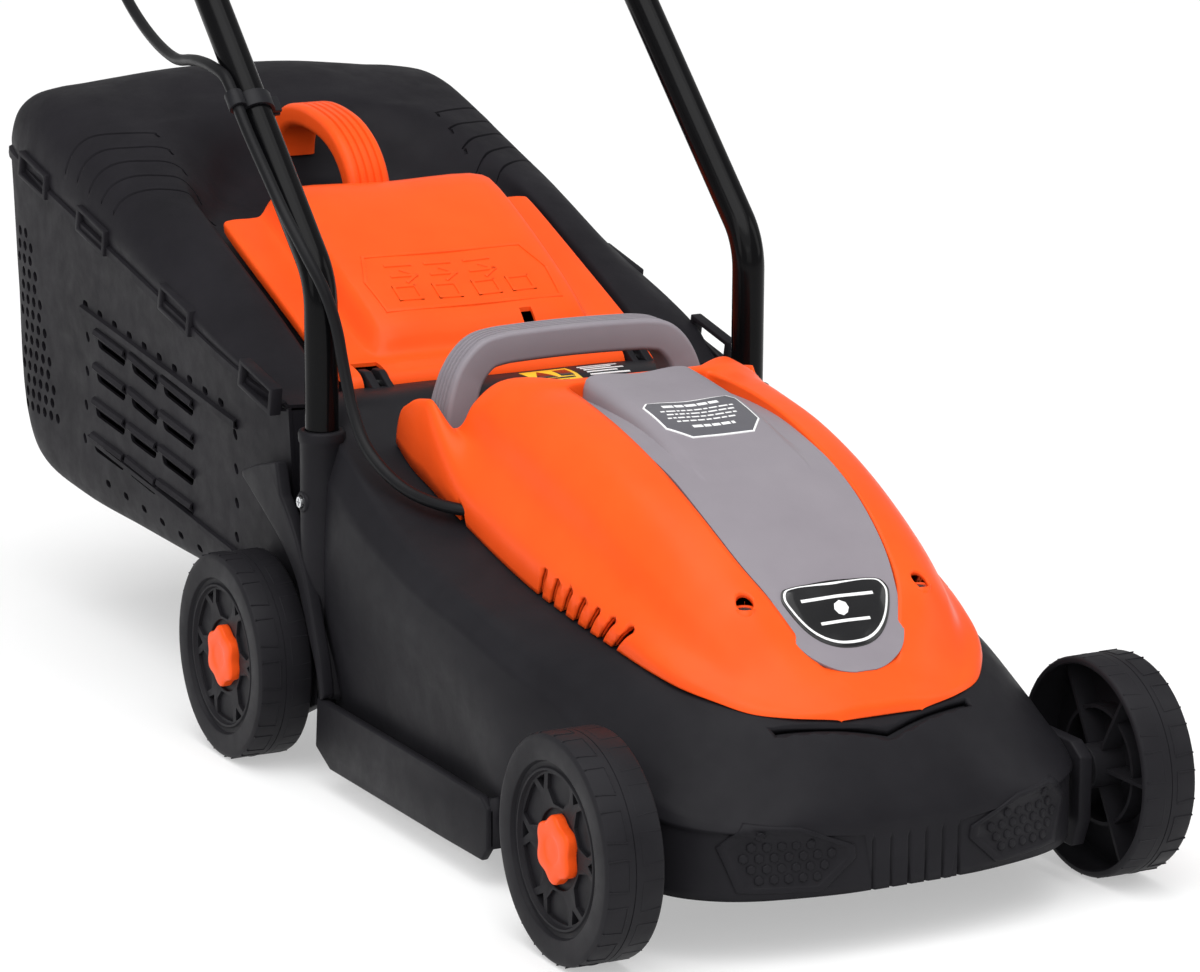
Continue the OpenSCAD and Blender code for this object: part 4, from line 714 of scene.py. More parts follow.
def subdiv(poly, k):
    out = []
    for i in range(len(poly)):
        a, b = np.array(poly[i], float), np.array(poly[(i + 1) % len(poly)], float)
        for q in range(k):
            out.append(tuple(a + (b - a) * q / k))
    return out


def inside(p, poly):
    x, y = p; r = False
    for i in range(len(poly)):
        x1, y1 = poly[i]; x2, y2 = poly[i - 1]
        if (y1 > y) != (y2 > y) and x < (x2 - x1) * (y - y1) / (y2 - y1) + x1:
            r = not r
    return r


PAD = [(120.5, 73), (106, 87.5), (75, 84), (40, 69.5), (39, 62), (60, 43.5), (110, 45.5)]
for s in (-1, 1):
    outl = subdiv([(s * x, z) for x, z in PAD], 6)
    P = np.array(outl); c0 = P.mean(0); n = len(P)
    b = Build()
    V = []
    for inset_, off_ in ((0.0, -1.0), (0.0, 1.1), (0.6, 1.7), (3.2, 1.7), (3.9, 1.2), (4.3, 0.8), (14, 0.8), (24, 0.8)):
        for p_ in P:
            r_ = np.linalg.norm(p_ - c0)
            q_ = c0 + (p_ - c0) * max(0.05, 1 - inset_ / r_ * min(1.6, r_ / 24))
            V.append(on_front(q_[0], q_[1], off_))
    F = grid_faces(8, n, 0, False, True) + [tuple(7 * n + k for k in range(n))]
    b.add(V, F)
    small = [tuple(c0 + (np.array((s * x, z)) - c0) * 0.80) for x, z in PAD]
    for i in range(11):
        for j in range(7):
            cx_ = s * (42 + i * 8.6 + (j % 2) * 4.3); cz_ = 46.5 + j * 6.6
            hexa = [(cx_ + 2.9 * math.cos(math.radians(60 * k + 30)), cz_ + 3.0 * math.sin(math.radians(60 * k + 30))) for k in range(6)]
            if all(inside(h, small) for h in hexa):
                b.add(*fan_patch(hexa, on_front, 1.75, 1.1, 2, inset=0.8))
    o = b.obj(f"pads{s}", [M["deck_plastic"]]); fix_normals(o); o.data.set_sharp_from_angle(angle=math.radians(30)); parts.append(o)
DECK = finish(join(parts, "deck_visual"), "deck", ["deck_shell", "rear_axle_arms"])

# ---------------------------------------------------------------- motor cover
cover_rows = [
    (0, [(116, 226, 147), (118, 255, 126), (107, 243, 96), (97, 211, 82), (80, 208.5, 72), (48, 204.5, 54), (30, 205.5, 52), (0, 206, 51)]),
    (0, [(117.5, 215, 122), (119, 262, 110), (107.5, 247, 88), (99, 240, 77), (82, 246, 68), (49, 250, 46), (30, 250, 44), (0, 250, 43)]),
    (0, [(118, 209, 100), (119, 266, 90), (107, 247, 75), (100, 266, 66), (84, 280, 60), (50, 282, 38), (30, 282, 37), (0, 282, 37)]),
    (0, [(118, 198, 60), (119, 232, 58), (106, 243, 55), (99, 267, 48), (82, 279, 44), (50, 281, 32), (30, 282, 31), (0, 282, 31)]),
    (29, [(118, 190), (119, 211), (106, 237), (98, 262), (80, 276), (51, 279), (49, 268), (0, 268)]),
    (0, [(119.5, 184.3), (119, 206), (106, 230), (98, 257), (80, 272), (54.5, 276.5), (53.2, 266), (0, 266)]),
    (-50, [(120, 174.3), (119.5, 196), (106, 218), (98, 245), (81, 263), (56.8, 268.5), (55.6, 261.5), (0, 262)]),
    (-100, [(119.5, 167.2), (119, 186), (105, 206), (97, 230), (80, 248), (56.8, 254.5), (55.6, 250.5), (0, 251)]),
    (-150, [(117.5, 160.8), (116.5, 175), (102, 191), (93, 211), (76, 228), (55.8, 234.5), (54.6, 230.5), (0, 231)]),
    (-190, [(112, 153.6), (110.5, 163), (96, 176), (87, 193), (71, 207.5), (50.8, 211.5), (49.6, 207), (0, 208)]),
    (-215, [(105, 148.6), (103, 155), (90, 164), (80, 179), (64, 193.5), (43.8, 194.5), (42.6, 188.8), (0, 190)]),
    (-235, [(93, 144), (90, 148), (79, 153), (67, 161), (52, 169.5), (32.8, 171), (31.6, 165.5), (0, 166.5)]),
    (-252, [(78, 139), (75, 142), (65, 145), (54, 149), (41, 153), (25, 155), (20, 155.2), (0, 155.5)]),
    (-264, [(56, 136.5), (53, 138.5), (46, 140.5), (38, 142.5), (29, 144.5), (18, 145.8), (12, 146), (0, 146)]),
    (-271, [(31, 134), (29, 136), (25, 137.5), (20, 138.5), (15, 139), (9, 139.5), (5, 139.5), (0, 139.5)]),
    (-272, [(28, 133.5), (26, 133.5), (22, 133.5), (18, 133.5), (14, 133.5), (9, 133.5), (5, 133.5), (0, 133.5)]),
]
GC = dense(mirror_rows(cover_rows), 8, 7, su=(2,), sv=(5, 6, 8, 9))
cover = shell_obj("motor_cover_visual", GC, 2.6, M["cover_plastic"])
T_COVER = tree(cover)
liners = []
for s in (-1, 1):
    G = []
    for y in np.linspace(-56, -180, 26):
        zl = 174.3 + (y + 50) * 0.137 + 0.6
        col_ = []
        for z in np.linspace(zl, zl + 21, 8):
            p_ = hit(T_COVER, (s * 200, y, z), (-s, 0, 0))
            col_.append((p_[0] - s * 3.9, y, z))
        G.append(col_)
    o = Build().grid(G).obj("liner", [M["cover_plastic"]])
    mod(o, "SOLIDIFY", thickness=0.0028, offset=0.0)
    liners.append(o)
cutters = []
for s in (-1, 1):
    v, f = lathe_z([(0.05, 184.0), (5.4, 184.0), (5.6, 215), (0.05, 215), (0.05, 184.0)], s * 61, -213, 40)
    c = closed("c_s", v, f); cutters.append(c); cut(cover, c)
    vv, ff = [], []
    bb = Build()
    for k in range(7):
        yb, yt = -64.4 - 15 * k, -71 - 15.8 * k
        zt = 187.6 - 2.55 * k
        zl = 174.3 + (yb + 50) * 0.137
        g = (yt - yb) / (zt - zl)
        y0 = yb + g * (140 - zl)
        pts = [(y0 - 3.2, 140), (y0 + 3.2, 140), (yt + 3.2, zt)] + [(yt + 3.2 * math.cos(t), zt + 3.2 * math.sin(t)) for t in np.linspace(0.3, math.pi - 0.3, 7)] + [(yt - 3.2, zt)]
        bb.add(*prism(pts, "x", s * 108, s * 126))
    c = bb.obj("c_v", []); fix_normals(c); cutters.append(c); cut(cover, c)
    for o in liners:
        cut(o, c)
v, f = prism([(40.8, 180), (49.2, 180), (49.2, 203)] + [(45 + 4.2 * math.cos(t), 203 + 4.2 * math.sin(t)) for t in np.linspace(0.2, math.pi - 0.2, 8)] + [(40.8, 203)], "x", -126, -110)
c = closed("c_c", v, f); cutters.append(c); cut(cover, c)
for o in liners:
    settle(o, 34)
settle(cover, 34, cutters)
bits = [cover] + liners
for s in (-1, 1):
    v, f = lathe_z([(2.2, 180), (6.9, 180), (6.9, 192.2), (5.7, 192.2), (5.5, 188.4), (2.2, 188.4), (2.2, 180)], s * 61, -213, 40)
    bits.append(settle(closed("post", v, f, [M["cover_plastic"]])))
COVER = finish(join(bits, "motor_cover_visual"), "deck", ["motor_cover"])

# panel
panel_rows = [
    (31, [(49.4, 270), (40, 271), (37.5, 281.6), (0, 282)]),
    (27, [(49.8, 270), (41, 270.6), (38, 281.2), (0, 281.8)]),
    (0, [(53.4, 269.6), (42, 270), (38.6, 278), (0, 279)]),
    (-50, [(55.9, 265.2), (42, 265.8), (39, 270.2), (0, 271.2)]),
    (-100, [(55.9, 254.2), (42, 254.8), (37.5, 256.0), (0, 257)]),
    (-116, [(55.7, 249.4), (42, 250.2), (36, 250.6), (0, 251.3)]),
    (-150, [(54.8, 234.4), (41, 235), (30, 235.2), (0, 236)]),
    (-190, [(49.8, 211.2), (38, 211.8), (28, 212), (0, 213)]),
    (-215, [(42.9, 193.6), (32, 194), (22, 194), (0, 194.6)]),
    (-235, [(37, 171.2), (26, 171.6), (14, 171.8), (0, 172)]),
    (-244, [(29.5, 163.6), (20, 164), (10, 164.2), (0, 164.3)]),
    (-250, [(17, 157.6), (12, 157.8), (6, 157.9), (0, 158)]),
    (-252.5, [(7, 155.9), (5, 156), (3, 156), (0, 156)]),
]
GP = dense(mirror_rows(panel_rows), 8, 8, sv=(1, 5))
for i in range(GP.shape[0]):
    for j in range(GP.shape[1]):
        x, y, z = GP[i, j]
        if abs(x) < 39 and y > -122:
            e = min(1, max(0, (39 - abs(x)) / 2.2)) * min(1, max(0, (y + 122) / 4.0))
            GP[i, j, 2] = z + 0.9 * e * e * (3 - 2 * e)
panel = shell_obj("cover_panel_visual", GP, 2.0, M["panel_plastic"])
T_PANEL = tree(panel)
settle(panel, 30)
finish(panel, "deck", ["cover_panel"])


def on_panel(x, y, off=0.0):
    p = hit(T_PANEL, (x, y, 400), (0, 0, -1))
    if p is None:
        p = hit(T_PANEL, (x * 0.97, y, 400), (0, 0, -1)) or (x, y, 200)
    return (x, y, p[2] + off)


# badge: black shield, pale ring, black centre with a plain leaf and bars
half = spline([(0, -208.5), (14, -208.7), (28, -209.2), (34.5, -210.9), (37, -215.5), (35, -221), (29, -229), (20, -235.5), (10, -239.5), (0, -240.6)], 5)
badge_o = [tuple(p) for p in half] + [(-p[0], p[1]) for p in half[::-1][1:-1]]
def scaled(poly, dx, dy=None):
    P = np.array(poly, float); c = np.array([0, -222.5]) if dy is None else np.array(dy)
    r = P - c
    L = np.linalg.norm(r, axis=1)[:, None]
    return [tuple(q) for q in c + r * (L - dx) / L]
bd = Build()
bd.add(*fan_patch(badge_o, on_panel, 1.2, 0.2, 6, inset=0.6), 0)
bd.add(*fan_patch(scaled(badge_o, 1.5), on_panel, 1.32, -0.9, 6, inset=0.1), 1)
bd.add(*fan_patch(scaled(badge_o, 2.9), on_panel, 1.44, -0.9, 6, inset=0.1), 0)
def strip(b, x0, x1, y0, y1, off, mi):
    b.add(*fan_patch(subdiv([(x0, y0), (x1, y0), (x1, y1), (x0, y1)], 4), on_panel, off, -(off - 0.3), 2, inset=0.05), mi)
strip(bd, -25, 25, -218.4, -217.0, 1.56, 1)
strip(bd, -17, 17, -229.0, -227.8, 1.56, 1)
leaf = [(0, -219.6), (4.0, -221.0), (5.0, -223.2), (3.2, -225.2), (0, -226.2), (-3.2, -225.2), (-5.0, -223.2), (-4.0, -221.0)]
bd.add(*fan_patch(subdiv(leaf, 2), on_panel, 1.58, -1.2, 2, inset=0.05), 1)
o = bd.obj("badge_visual", [M["badge"], M["white_ink"]]); fix_normals(o)
o.data.set_sharp_from_angle(angle=math.radians(30))
finish(o, "deck", ["badge_plate"])

# rating label: dark foil with cut corners, pale rim and rows of plain bars
lab = [(-29, -31), (29, -31), (33.5, -36), (33.5, -66), (22, -80), (-22, -80), (-33.5, -66), (-33.5, -36)]
lb = Build()
lb.add(*fan_patch(subdiv(lab, 6), on_panel, 0.7, 0.1, 6, inset=0.2), 1)
lb.add(*fan_patch(scaled(subdiv(lab, 6), 1.2, (0, -54)), on_panel, 0.80, -0.5, 6, inset=0.1), 0)
rows_ = [(-38.5, 21, 3.4), (-45.6, 26, 1.5), (-50.4, 24, 1.5), (-55.2, 26, 1.5), (-60.0, 22, 1.5), (-67.4, 15, 3.0)]
rs = np.random.RandomState(4)
for yc, hw, hh in rows_:
    x = -hw
    while x < hw - 2:
        L = float(rs.uniform(2.0, 6.5)) if hh < 3 else float(rs.uniform(4.0, 8.0))
        x2 = min(x + L, hw)
        strip(lb, x, x2, yc - hh / 2, yc + hh / 2, 0.88, 1)
        x = x2 + 1.1
o = lb.obj("rating_label_visual", [M["label_dark"], M["white_ink"]]); fix_normals(o)
o.data.set_sharp_from_angle(angle=math.radians(30))
finish(o, "deck", ["rating_label"])

# generic yellow label on the deck
wl = Build()
def on_deck(x, y, off=0.0):
    p = hit(T_DECK, (x, y, 400), (0, 0, -1))
    return (x, y, p[2] + off)
def rect(x0, x1, y0, y1):
    return subdiv([(x0, y0), (x1, y0), (x1, y1), (x0, y1)], 4)
wl.add(*fan_patch(rect(1, 36, 164, 199), on_deck, 0.4, 0.1, 4, inset=0.1), 0)
wl.add(*fan_patch(subdiv([(4, 178), (20, 178), (12, 195)], 3), on_deck, 0.55, -0.3, 2, inset=0.1), 1)
wl.add(*fan_patch(rect(23, 33, 179, 194), on_deck, 0.55, -0.3, 2, inset=0.1), 1)
for k in range(3):
    wl.add(*fan_patch(rect(4, 32 - 6 * (k % 2), 167 + 4 * k, 169 + 4 * k), on_deck, 0.55, -0.3, 2, inset=0.05), 1)
for k in range(5):
    wl.add(*fan_patch(rect(44, 74 - 7 * (k % 2), 176 + 5 * k, 177.8 + 5 * k), on_deck, 0.35, 0.05, 2, inset=0.05), 2)
o = wl.obj("yellow_label_visual", [M["label_yellow"], M["badge"], M["white_ink"]]); fix_normals(o)
finish(o, "deck", ["warning_label"])

# ---------------------------------------------------------------- carry handle
path = [(-86.5, 236), (-85.4, 248), (-83, 259), (-79, 270), (-73, 279), (-65, 285.6), (-54, 288.2), (-36, 289.2), (0, 289.8), (36, 289.2), (54, 288.2), (65, 285.6), (73, 279), (79, 270), (83, 259), (85.4, 248), (86.5, 236)]
P3 = spline([(x, 125, z) for x, z in path], 6)
def ch_sec(t):
    e = abs(t - 0.5) * 2
    a = 10.4 + 0.6 * max(0, (e - 0.72) / 0.28)
    bW = 13.2 + 2.4 * max(0, (e - 0.6) / 0.4)
    return rrect(a, bW, 3.2, 6, grooves=(-6.6, -2.2, 2.2, 6.6), gd=1.6, gw=1.3, side=-1)
v, f = sweep(P3, ch_sec, (0, 1, 0))
o = closed("carry_handle_visual", v, f, [M["panel_plastic"]])
o.data.set_sharp_from_angle(angle=math.radians(32))
finish(o, "deck", ["carry_handle"])

# ---------------------------------------------------------------- flap
flap_rows = [
    (415.5, [(117.5, 323.0), (116.5, 328.0), (112, 329.0), (97, 329.4), (91, 329.6), (82, 330), (78, 330), (0, 330)]),
    (414, [(118.6, 322.0), (118.4, 329.0), (113, 330.4), (97, 330.6), (91.5, 331.5), (83.5, 342), (79, 344.5), (0, 345)]),
    (407, [(119, 319), (118.8, 326.4), (113.5, 327.6), (96.5, 327.9), (91, 329.5), (83, 346), (78.5, 349.6), (0, 350.2)]),
    (302, [(119, 277), (118.8, 283.9), (113.5, 285.1), (95, 285.3), (89, 287), (81, 304.5), (76, 307.8), (0, 309)]),
    (254, [(119, 258), (118.8, 264.2), (113.5, 265.4), (93, 265.6), (87, 267), (79, 277.5), (75, 280.6), (0, 281.8)]),
    (247, [(119, 256.2), (118.8, 262), (113.5, 263.1), (92, 263.2), (86, 264), (79, 270), (74, 273), (0, 274.4)]),
    (240, [(119, 254.6), (118.8, 260.4), (113.5, 261.4), (92, 261.5), (85, 261.6), (79, 262.4), (74, 263), (0, 263.6)]),
    (226, [(119, 251.8), (118.8, 258.4), (113.5, 259.6), (92, 259.7), (85, 259.8), (79, 260), (74, 260.2), (0, 260.4)]),
    (215, [(118.4, 248.5), (118, 254.4), (113, 255.5), (92, 255.7), (85, 255.8), (79, 255.8), (74, 255.8), (0, 256)]),
    (211, [(117, 245.5), (116.6, 249.6), (112, 250), (92, 250), (85, 250), (79, 250), (74, 250), (0, 250)]),
    (210.4, [(116, 243.6), (115.6, 244.6), (111, 244.8), (92, 244.8), (85, 244.8), (79, 244.8), (74, 244.8), (0, 244.8)]),
]
GF = dense(mirror_rows(flap_rows), 7, 5, su=(1,))
flap = shell_obj("rear_flap_visual", GF, 2.5, M["cover_plastic"])
T_FLAP = tree(flap)
cutters = []
for s in (-1, 1):
    v, f = prism([(205, 238), (231.5, 238), (233.5, 246), (233.5, 280), (205, 280)], "x", s * 88.6, s * 108)
    c = closed("c_l", v, f); cutters.append(c); cut(flap, c)
v, f = prism([(30, 246), (39, 246), (39, 255.5), (30, 255.5)], "z", 262, 300)
c = closed("c_w", v, f); cutters.append(c); cut(flap, c)
settle(flap, 30, cutters)
def on_flap(x, y, off=0.0):
    p = hit(T_FLAP, (x, y, 500), (0, 0, -1)) or (x, y, 300)
    return (x, y, p[2] + off)
fb_ = Build()
def ridge(pts, w=1.1, h=0.9):
    """A raised line along a polyline on the flap."""
    for a, b in zip(pts[:-1], pts[1:]):
        a, b = np.array(a, float), np.array(b, float)
        d = (b - a) / np.linalg.norm(b - a); n = np.array([-d[1], d[0]]) * w
        q = [tuple(a - n - d * w), tuple(b - n + d * w), tuple(b + n + d * w), tuple(a + n - d * w)]
        fb_.add(*fan_patch(subdiv(q, 3), on_flap, h, 0.4, 2, inset=0.45))
ridge([(-66, 262), (66, 262)]); ridge([(-60, 314), (60, 314)])
ridge([(-66, 262), (-69, 290), (-60, 314)]); ridge([(66, 262), (69, 290), (60, 314)])
for x0 in (-52, -22, 8, 34):
    ridge([(x0, 270), (x0 + 16, 270), (x0 + 16, 282), (x0, 282), (x0, 270)])
for x0 in (-48, -18, 12):
    ridge([(x0, 292), (x0 + 18, 292)]); ridge([(x0 + 9, 286), (x0 + 18, 292), (x0 + 9, 298)]); ridge([(x0, 303), (x0 + 18, 303)])
for s in (-1, 1):
    v, f = lathe_x([(64, 2.62), (64, 5.2), (87, 5.2), (87, 2.62), (64, 2.62)], s, 221, 249.5, 32)
    fb_.add(v, f)
    fb_.add(*prism([(215.8, 249.5), (217, 257), (225, 258), (226.2, 249.5), (223.8, 250.5), (218.2, 250.5)], "x", s * 64, s * 87))
ff_ = fb_.obj("flap_bits", [M["cover_plastic"]]); fix_normals(ff_); ff_.data.set_sharp_from_angle(angle=math.radians(35))
FLAP = finish(join([flap, ff_], "rear_flap_visual"), "flap", ["rear_flap"], 33)

# ---------------------------------------------------------------- collector
lid_rows = [
    (714, [(152, 345), (146, 345), (138, 345), (128, 345), (118, 345), (100, 345), (80, 345), (40, 345), (0, 345)]),
    (713, [(156, 345), (155, 351), (149, 357), (139, 361), (125, 364), (108, 365.5), (90, 366.5), (45, 368.5), (0, 369)]),
    (706, [(161.5, 343.4), (161.5, 352), (156, 368), (147, 376), (130, 381), (110, 383.5), (92, 385), (46, 389), (0, 390)]),
    (690, [(166, 340.2), (167, 352), (161.5, 373), (151, 383), (132, 388), (112, 390), (92, 392), (46, 396), (0, 397)]),
    (655, [(170, 332.8), (172, 345), (166, 375), (155, 387), (135, 392), (112, 394), (92, 396.5), (46, 401.5), (0, 402.5)]),
    (625, [(170, 326.6), (173, 339), (167, 372), (156, 384), (136, 389.5), (112, 391.5), (90, 393.5), (46, 399), (0, 400)]),
    (600, [(170, 321.3), (173, 334), (167, 366), (156, 378), (136, 384), (112, 386.5), (80, 389), (44, 392), (0, 393)]),
    (572, [(170, 315.4), (173, 328), (166.5, 358), (156, 370), (136, 376), (112, 378.5), (72, 381), (42, 381.5), (0, 381.5)]),
    (562, [(170, 313.4), (173, 326), (166.5, 355.5), (156, 367), (136, 373), (110, 376), (74, 377), (40, 366), (0, 364)]),
    (545, [(170, 309.8), (173, 323), (166, 351), (155, 362), (135, 367.6), (110, 371), (78, 362), (48, 338), (0, 333)]),
    (520, [(170, 304.5), (173, 318), (165.5, 344), (154, 355), (135, 360.5), (114, 362), (88, 346), (66, 328), (0, 326.5)]),
    (490, [(170, 298.2), (173, 312), (165, 336), (153, 346), (135, 351), (120, 351.5), (100, 336), (84, 324.5), (0, 323.5)]),
    (460, [(170, 291.9), (173, 306), (164, 328), (151, 338), (134, 342), (124, 341), (113, 326), (104, 321.5), (0, 321)]),
    (425, [(170, 284.6), (173, 298), (163.5, 316), (150, 328), (134, 331.5), (126, 330), (122.5, 319), (116, 316.5), (0, 316.5)]),
    (360, [(170, 271), (173, 284), (163, 294), (149, 304), (134, 306.5), (127, 305.5), (122.5, 296), (117, 293.2), (0, 293)]),
    (302, [(170, 258.8), (173, 270), (163, 276), (149, 282), (134, 283.5), (127, 282.5), (122.5, 273), (117, 270.2), (0, 270)]),
    (252, [(168, 248.3), (170, 256), (162, 258), (149, 259), (134, 259.4), (127, 258.6), (122.5, 251), (117, 249.2), (0, 249)]),
    (238, [(166, 245.4), (168, 249.5), (161, 250), (149, 249.5), (134, 248.4), (127, 247), (122.5, 241), (117, 239.2), (0, 239)]),
    (214, [(163, 240.3), (164.5, 241.6), (159, 242), (148, 241.4), (134, 240.2), (127, 239), (122.5, 238), (117, 237.5), (0, 237.4)]),
]
GL = dense(mirror_rows(lid_rows), 7, 6, su=(1,))
lid = shell_obj("collector_lid_visual", GL, 2.5, M["bag_plastic"])
T_LID = tree(lid)
def zlid(x, y):
    p = hit(T_LID, (x, y, 600), (0, 0, -1))
    return p[2] if p else None
bb = Build()
for s in (-1, 1):
    for k in range(5):
        t = k / 4.0
        pa = np.array([113 - 2 * t, 550 - 94 * t]); pb = np.array([181 - 2 * t, 581 - 83 * t])
        pts = [pa + (pb - pa) * q for q in np.linspace(-0.02, 0.86, 15)]
        tick = [pa + np.array([-1.5, -7.0]), pa + np.array([-0.4, -2.0])]
        line_ = [np.array(p) for p in tick] + pts
        w_ = 1.5
        V, n = [], len(line_)
        for i, p in enumerate(line_):
            d = line_[min(i + 1, n - 1)] - line_[max(i - 1, 0)]; d /= np.linalg.norm(d)
            nn = np.array([-d[1], d[0]]) * w_
            z = zlid(p[0] * s, p[1]) or 340
            for q, dz in ((p - nn, -1.7), (p + nn * 0.4, -1.7), (p + nn, 6), (p - nn, 6)):
                V.append((q[0] * s, q[1], z + dz))
        F = grid_faces(n, 4, 0, False, True) + [(3, 2, 1, 0), tuple((n - 1) * 4 + q for q in range(4))]
        bb.add(V, F)
c = bb.obj("c_g", []); fix_normals(c); cut(lid, c)
settle(lid, 30, [c])
bits = [lid]
SE = math.atan(0.21)
def seam_pt(s, x, yc, a, b):
    """A point near the seam: a along it, b square to it."""
    z0 = 238 + 0.21 * (yc - 204)
    return (s * x, yc + a * math.cos(SE) - b * math.sin(SE), z0 + a * math.sin(SE) + b * math.cos(SE))
def seam_frame(s, yc, L, b0, b1, x0, x1, hole):
    o_ = [(-L, b0), (L, b0), (L, b1), (-L, b1)]
    i_ = [(-L + hole, b0 + hole * 0.7), (L - hole, b0 + hole * 0.7), (L - hole, b1 - hole * 0.7), (-L + hole, b1 - hole * 0.7)]
    V = [seam_pt(s, x, yc, *p) for x in (x0, x1) for p in o_ + i_]
    F = []
    for k in range(4):
        k2 = (k + 1) % 4
        F += [(k, k2, 8 + k2, 8 + k), (4 + k, 12 + k, 12 + k2, 4 + k2), (8 + k, 8 + k2, 12 + k2, 12 + k), (k, 4 + k, 4 + k2, k2)]
    return V, F
for s in (-1, 1):
    for yc in (633, 522, 373, 238):
        v, f = seam_frame(s, yc, 27, -3.5, 16, 168, 176.3, 5.0)
        o = closed("clip", v, f, [M["bag_plastic"]]); mod(o, "BEVEL", width=0.0011, segments=2, limit_method="ANGLE"); bits.append(settle(o))
    # lip along the lid's lower edge
    ys = np.linspace(214, 700, 60)
    G = []
    for b_, x_ in ((-1.5, 0), (-1.5, 3.6), (3.2, 3.6), (4.4, 0.6)):
        r_ = []
        for y in ys:
            half_ = np.interp(y, [214, 252, 300, 600, 690, 706], [163, 168, 170, 170.5, 166, 161])
            r_.append(seam_pt(s, half_ + x_, y, 0, b_))
        G.append(r_)
    o = Build().grid(G).obj("lip", [M["bag_plastic"]]); mod(o, "SOLIDIFY", thickness=0.001, offset=0); bits.append(settle(o))
LID = finish(join(bits, "collector_lid_visual"), "collector", ["collector_lid"], 33)

base_rows = [
    (711, [(148, 343.9), (140, 343.9), (130, 343.9), (118, 343.9), (100, 343.9), (70, 343.9), (0, 343.9)]),
    (709, [(157, 343.4), (156, 330), (154, 300), (148, 262), (136, 240), (118, 231), (0, 228)]),
    (700, [(165, 341.8), (164, 318), (161, 240), (157, 170), (148, 149), (128, 140), (0, 137)]),
    (690, [(167, 339.7), (166, 315), (162, 220), (158, 135), (151, 119), (134, 113), (0, 112)]),
    (670, [(168, 335.5), (167, 311), (163, 210), (158, 120), (152, 109), (137, 103), (0, 102)]),
    (600, [(168, 320.9), (167, 296), (162, 200), (157, 112), (151, 100), (137, 94), (0, 94)]),
    (500, [(168, 299.9), (166, 275), (162, 190), (156, 110), (150, 98), (136, 92), (0, 92)]),
    (400, [(168, 278.9), (166, 255), (161, 180), (156, 108), (150, 97), (136, 91), (0, 91)]),
    (302, [(168, 258.4), (166, 236), (161, 170), (156, 108), (150, 97), (136, 91), (0, 91)]),
    (252, [(166, 247.9), (164, 226), (160, 165), (155, 108), (149, 97), (136, 91), (0, 91)]),
    (214, [(162, 239.9), (161, 220), (157, 160), (152, 108), (147, 98), (135, 92), (0, 92)]),
]
GB = dense(mirror_rows(base_rows), 7, 7, su=(1,))
base = shell_obj("collector_base_visual", GB, 2.5, M["bag_plastic"], flip=True)
bb = Build()
def side_slot(s, yc, zc, L, H, ang):
    a = math.radians(ang)
    pts = []
    for t0, sx in ((-90, 1), (90, -1)):
        for q in range(7):
            t = math.radians(t0 + 180 * q / 6)
            u_, w_ = sx * (L - H) + H * math.cos(t), H * math.sin(t)
            pts.append((yc + u_ * math.cos(a) - w_ * math.sin(a), zc + u_ * math.sin(a) + w_ * math.cos(a)))
    return prism(pts, "x", s * 148, s * 176)
SLOTS = []
for y0_, y1_, z0_, z1_ in ((540, 489, 227, 221), (477, 433, 221, 214), (421, 369, 215, 208), (546, 493, 201, 195), (482, 437, 195, 188), (427, 373, 189, 183),
                           (552, 498, 174, 169), (488, 442, 168, 163), (432, 377, 163, 157), (558, 503, 147, 142), (494, 446, 142, 136), (438, 381, 137, 132)):
    SLOTS.append(((y0_ + y1_) / 2, (z0_ + z1_) / 2, (y0_ - y1_) / 2, 5.0, math.degrees(math.atan2(z0_ - z1_, y0_ - y1_))))
for s in (-1, 1):
    # four rows of three louvre openings, small holes at their ends, above and below
    for q in SLOTS:
        bb.add(*side_slot(s, *q))
    for r_ in range(4):
        bb.add(*side_slot(s, 559 + 5.5 * r_, 226 - 26.2 * r_, 4.0, 2.6, 60)); bb.add(*side_slot(s, 354 - 57 + 3 * r_, 206 - 24.6 * r_, 4.0, 2.6, 60))
    for c_ in range(10):
        bb.add(*side_slot(s, 559.5 - 26.9 * c_, 250.0 - 2.85 * c_, 4.6, 2.8, 8))
    for c_ in range(6):
        bb.add(*side_slot(s, 537.5 - 32 * c_, 121 - 2.6 * c_, 4.2, 2.6, 8))
    # staggered round holes at the rear corner
    for r_ in range(14):
        z_ = 152 + r_ * 10.2
        lo_, hi_ = 622 + (z_ - 149) * 0.29, 693 + (z_ - 144) * 0.05
        for c_ in range(7):
            y_ = lo_ + 4 + c_ * 12.4 + (r_ % 2) * 6.2
            if y_ < min(hi_, 693):
                bb.add(*side_slot(s, y_, z_, 3.9, 3.5, 60))
c = bb.obj("c_b", []); fix_normals(c); cut(base, c)
settle(base, 34, [c])
bits = [base]
